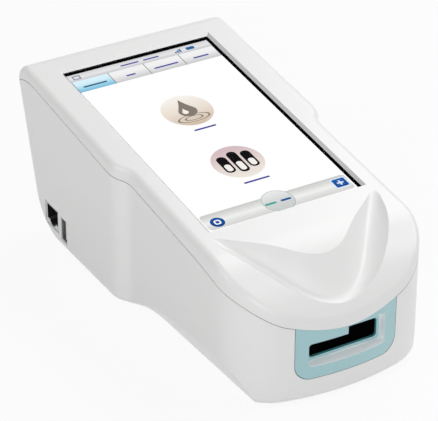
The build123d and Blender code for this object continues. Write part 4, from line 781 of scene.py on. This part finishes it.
def bent_wire(width, points):
    """Flat wire of an even width run through points of the side view (x, z)."""
    bm = bmesh.new()
    verts = [bm.verts.new((x, -width / 2, z)) for x, z in points]
    edges = [bm.edges.new(pair) for pair in zip(verts, verts[1:])]
    made = bmesh.ops.extrude_edge_only(bm, edges=edges)
    moved = [g for g in made["geom"] if isinstance(g, bmesh.types.BMVert)]
    bmesh.ops.translate(bm, verts=moved, vec=(0, width, 0))
    bmesh.ops.recalc_face_normals(bm, faces=bm.faces)
    bmesh.ops.solidify(bm, geom=bm.faces[:], thickness=width)
    return bm


def network_contacts():
    """Sprung wires side by side that lean down into the plug's way."""
    for count in range(WIRE_COUNT):
        wire = bent_wire(WIRE_WIDTH, [(WIRE_REAR, WIRE_HIGH), (WIRE_FRONT, WIRE_HIGH), WIRE_BEND, WIRE_TIP])
        y = NETWORK_MIDDLE.y + (count - (WIRE_COUNT - 1) / 2) * WIRE_STEP
        bmesh.ops.translate(wire, verts=wire.verts, vec=(0, y, 0))
        as_piece(f"network_contact_{count + 1}", wire, GOLD)


def data_contacts():
    """Flat springs one above another on the tongue of the upright socket."""
    for count in range(SPRING_COUNT):
        bm = bmesh.new()
        bmesh.ops.create_cube(bm, size=1)
        bmesh.ops.scale(bm, verts=bm.verts, vec=SPRING_SIZE)
        bmesh.ops.bevel(
            bm, geom=bm.edges[:], offset=SPRING_EDGE, segments=2, profile=0.5, affect="EDGES", material=-1,
        )
        z = DATA_MIDDLE.z + (count - (SPRING_COUNT - 1) / 2) * SPRING_STEP
        bmesh.ops.translate(bm, verts=bm.verts, vec=(SPRING_X, TONGUE_REAR, z))
        as_piece(f"data_contact_{count + 1}", bm, GOLD)


# Thread of the lead screw

def screw_thread():
    """Helical ridge wound round the root of the lead screw."""
    turns = (THREAD_REAR - THREAD_FRONT) / THREAD_LEAD
    base = THREAD_ROOT_D / 2
    crest = THREAD_CREST_D / 2
    wide = THREAD_HALF_WIDTH
    narrow = wide * THREAD_CREST_SHARE
    profile = [(base, -wide), (crest, -narrow), (crest, narrow), (base, wide)]
    bm = bmesh.new()
    verts = [bm.verts.new((r, y, 0)) for r, y in profile]
    edges = [bm.edges.new(pair) for pair in zip(verts, verts[1:] + verts[:1])]
    rise = (0, THREAD_LEAD / THREAD_STEPS, 0)
    bmesh.ops.spin(
        bm, geom=verts + edges, cent=(0, 0, 0), axis=(0, 1, 0), dvec=rise, angle=-2 * pi * turns,
        steps=int(turns * THREAD_STEPS), use_merge=False, use_duplicate=False,
    )
    ends = [edge for edge in bm.edges if edge.is_boundary]
    bmesh.ops.holes_fill(bm, edges=ends, sides=len(profile))
    bmesh.ops.translate(bm, verts=bm.verts, vec=(SCREW_AXIS.x, THREAD_FRONT, SCREW_AXIS.z))
    as_piece("screw_thread", bm, GROUND_STEEL, body="screw")


# Studio

def seen_directly(tree):
    """One where the camera sees a surface, also reflected or through glass, and zero for light on things."""
    rays = add(tree, "LightPath")
    pair = {0: rays.outputs["Is Camera Ray"], 1: rays.outputs["Is Glossy Ray"]}
    either = add(tree, "Math", links=pair, operation="MAXIMUM")
    pair = {0: either.outputs[0], 1: rays.outputs["Is Transmission Ray"]}
    return add(tree, "Math", links=pair, operation="MAXIMUM").outputs[0]


def studio_floor():
    """White floor that keeps the object's shadow and shows white to the camera and in reflections."""
    bm = bmesh.new()
    bmesh.ops.create_grid(bm, x_segments=1, y_segments=1, size=FLOOR_HALF)
    mesh = bpy.data.meshes.new("studio_floor")
    bm.to_mesh(mesh)
    bm.free()
    floor = bpy.data.objects.new("studio_floor", mesh)
    bpy.context.collection.objects.link(floor)
    material, tree = new_material("studio floor, white")
    matt = add(tree, "BsdfDiffuse", {"Color": srgb("EEEEEE")})
    glow = add(tree, "Emission", {"Strength": 1.0})
    share = add(tree, "Math", {1: FLOOR_GLOW_SHARE}, {0: seen_directly(tree)}, operation="MULTIPLY")
    parts = {"Fac": share.outputs[0], 1: matt.outputs[0], 2: glow.outputs[0]}
    finish_surface(tree, add(tree, "MixShader", links=parts))
    mesh.materials.append(material)


def studio_world():
    """Pale even surroundings, white to the camera and in reflections."""
    world = bpy.data.worlds.new("studio")
    world.use_nodes = True
    bpy.context.scene.world = world
    tree = world.node_tree
    tree.nodes.clear()
    strength = span(tree, seen_directly(tree), WORLD_LIGHT, 1.0)
    glow = add(tree, "Background", {"Color": (1, 1, 1, 1)}, {"Strength": strength})
    add(tree, "OutputWorld", links={"Surface": glow.outputs[0]})


def soft_lamp(name, place, power):
    """Square soft box that faces the object."""
    lamp = bpy.data.lights.new(name, "AREA")
    lamp.shape = "SQUARE"
    lamp.size = LAMP_SIZE
    lamp.energy = power
    holder = bpy.data.objects.new(name, lamp)
    holder.location = place
    holder.rotation_euler = (LAMP_AIM - Vector(place)).to_track_quat("-Z", "Y").to_euler()
    bpy.context.collection.objects.link(holder)


def studio_camera():
    """Camera at the viewing angle of the photograph."""
    data = bpy.data.cameras.new("camera")
    data.lens = LENS
    data.sensor_width = SENSOR
    data.sensor_fit = "HORIZONTAL"
    camera = bpy.data.objects.new("camera", data)
    up = CAMERA_RIGHT.cross(CAMERA_AHEAD)
    turn = Matrix((CAMERA_RIGHT, up, -CAMERA_AHEAD)).transposed().to_4x4()
    camera.matrix_world = Matrix.Translation(CAMERA_PLACE) @ turn
    bpy.context.collection.objects.link(camera)
    bpy.context.scene.camera = camera


dress_cad_nodes()
paint_seam_shade()
paint_slot_highlight_and_shade()
paint_window_shade()
dress_sockets()
screen_ground()
screen_picture()
network_contacts()
data_contacts()
screw_thread()
studio_floor()
studio_world()
for lamp_name, (lamp_place, lamp_power) in LAMPS.items():
    soft_lamp(lamp_name, lamp_place, lamp_power)
studio_camera()
bpy.context.scene.view_settings.view_transform = "Standard"
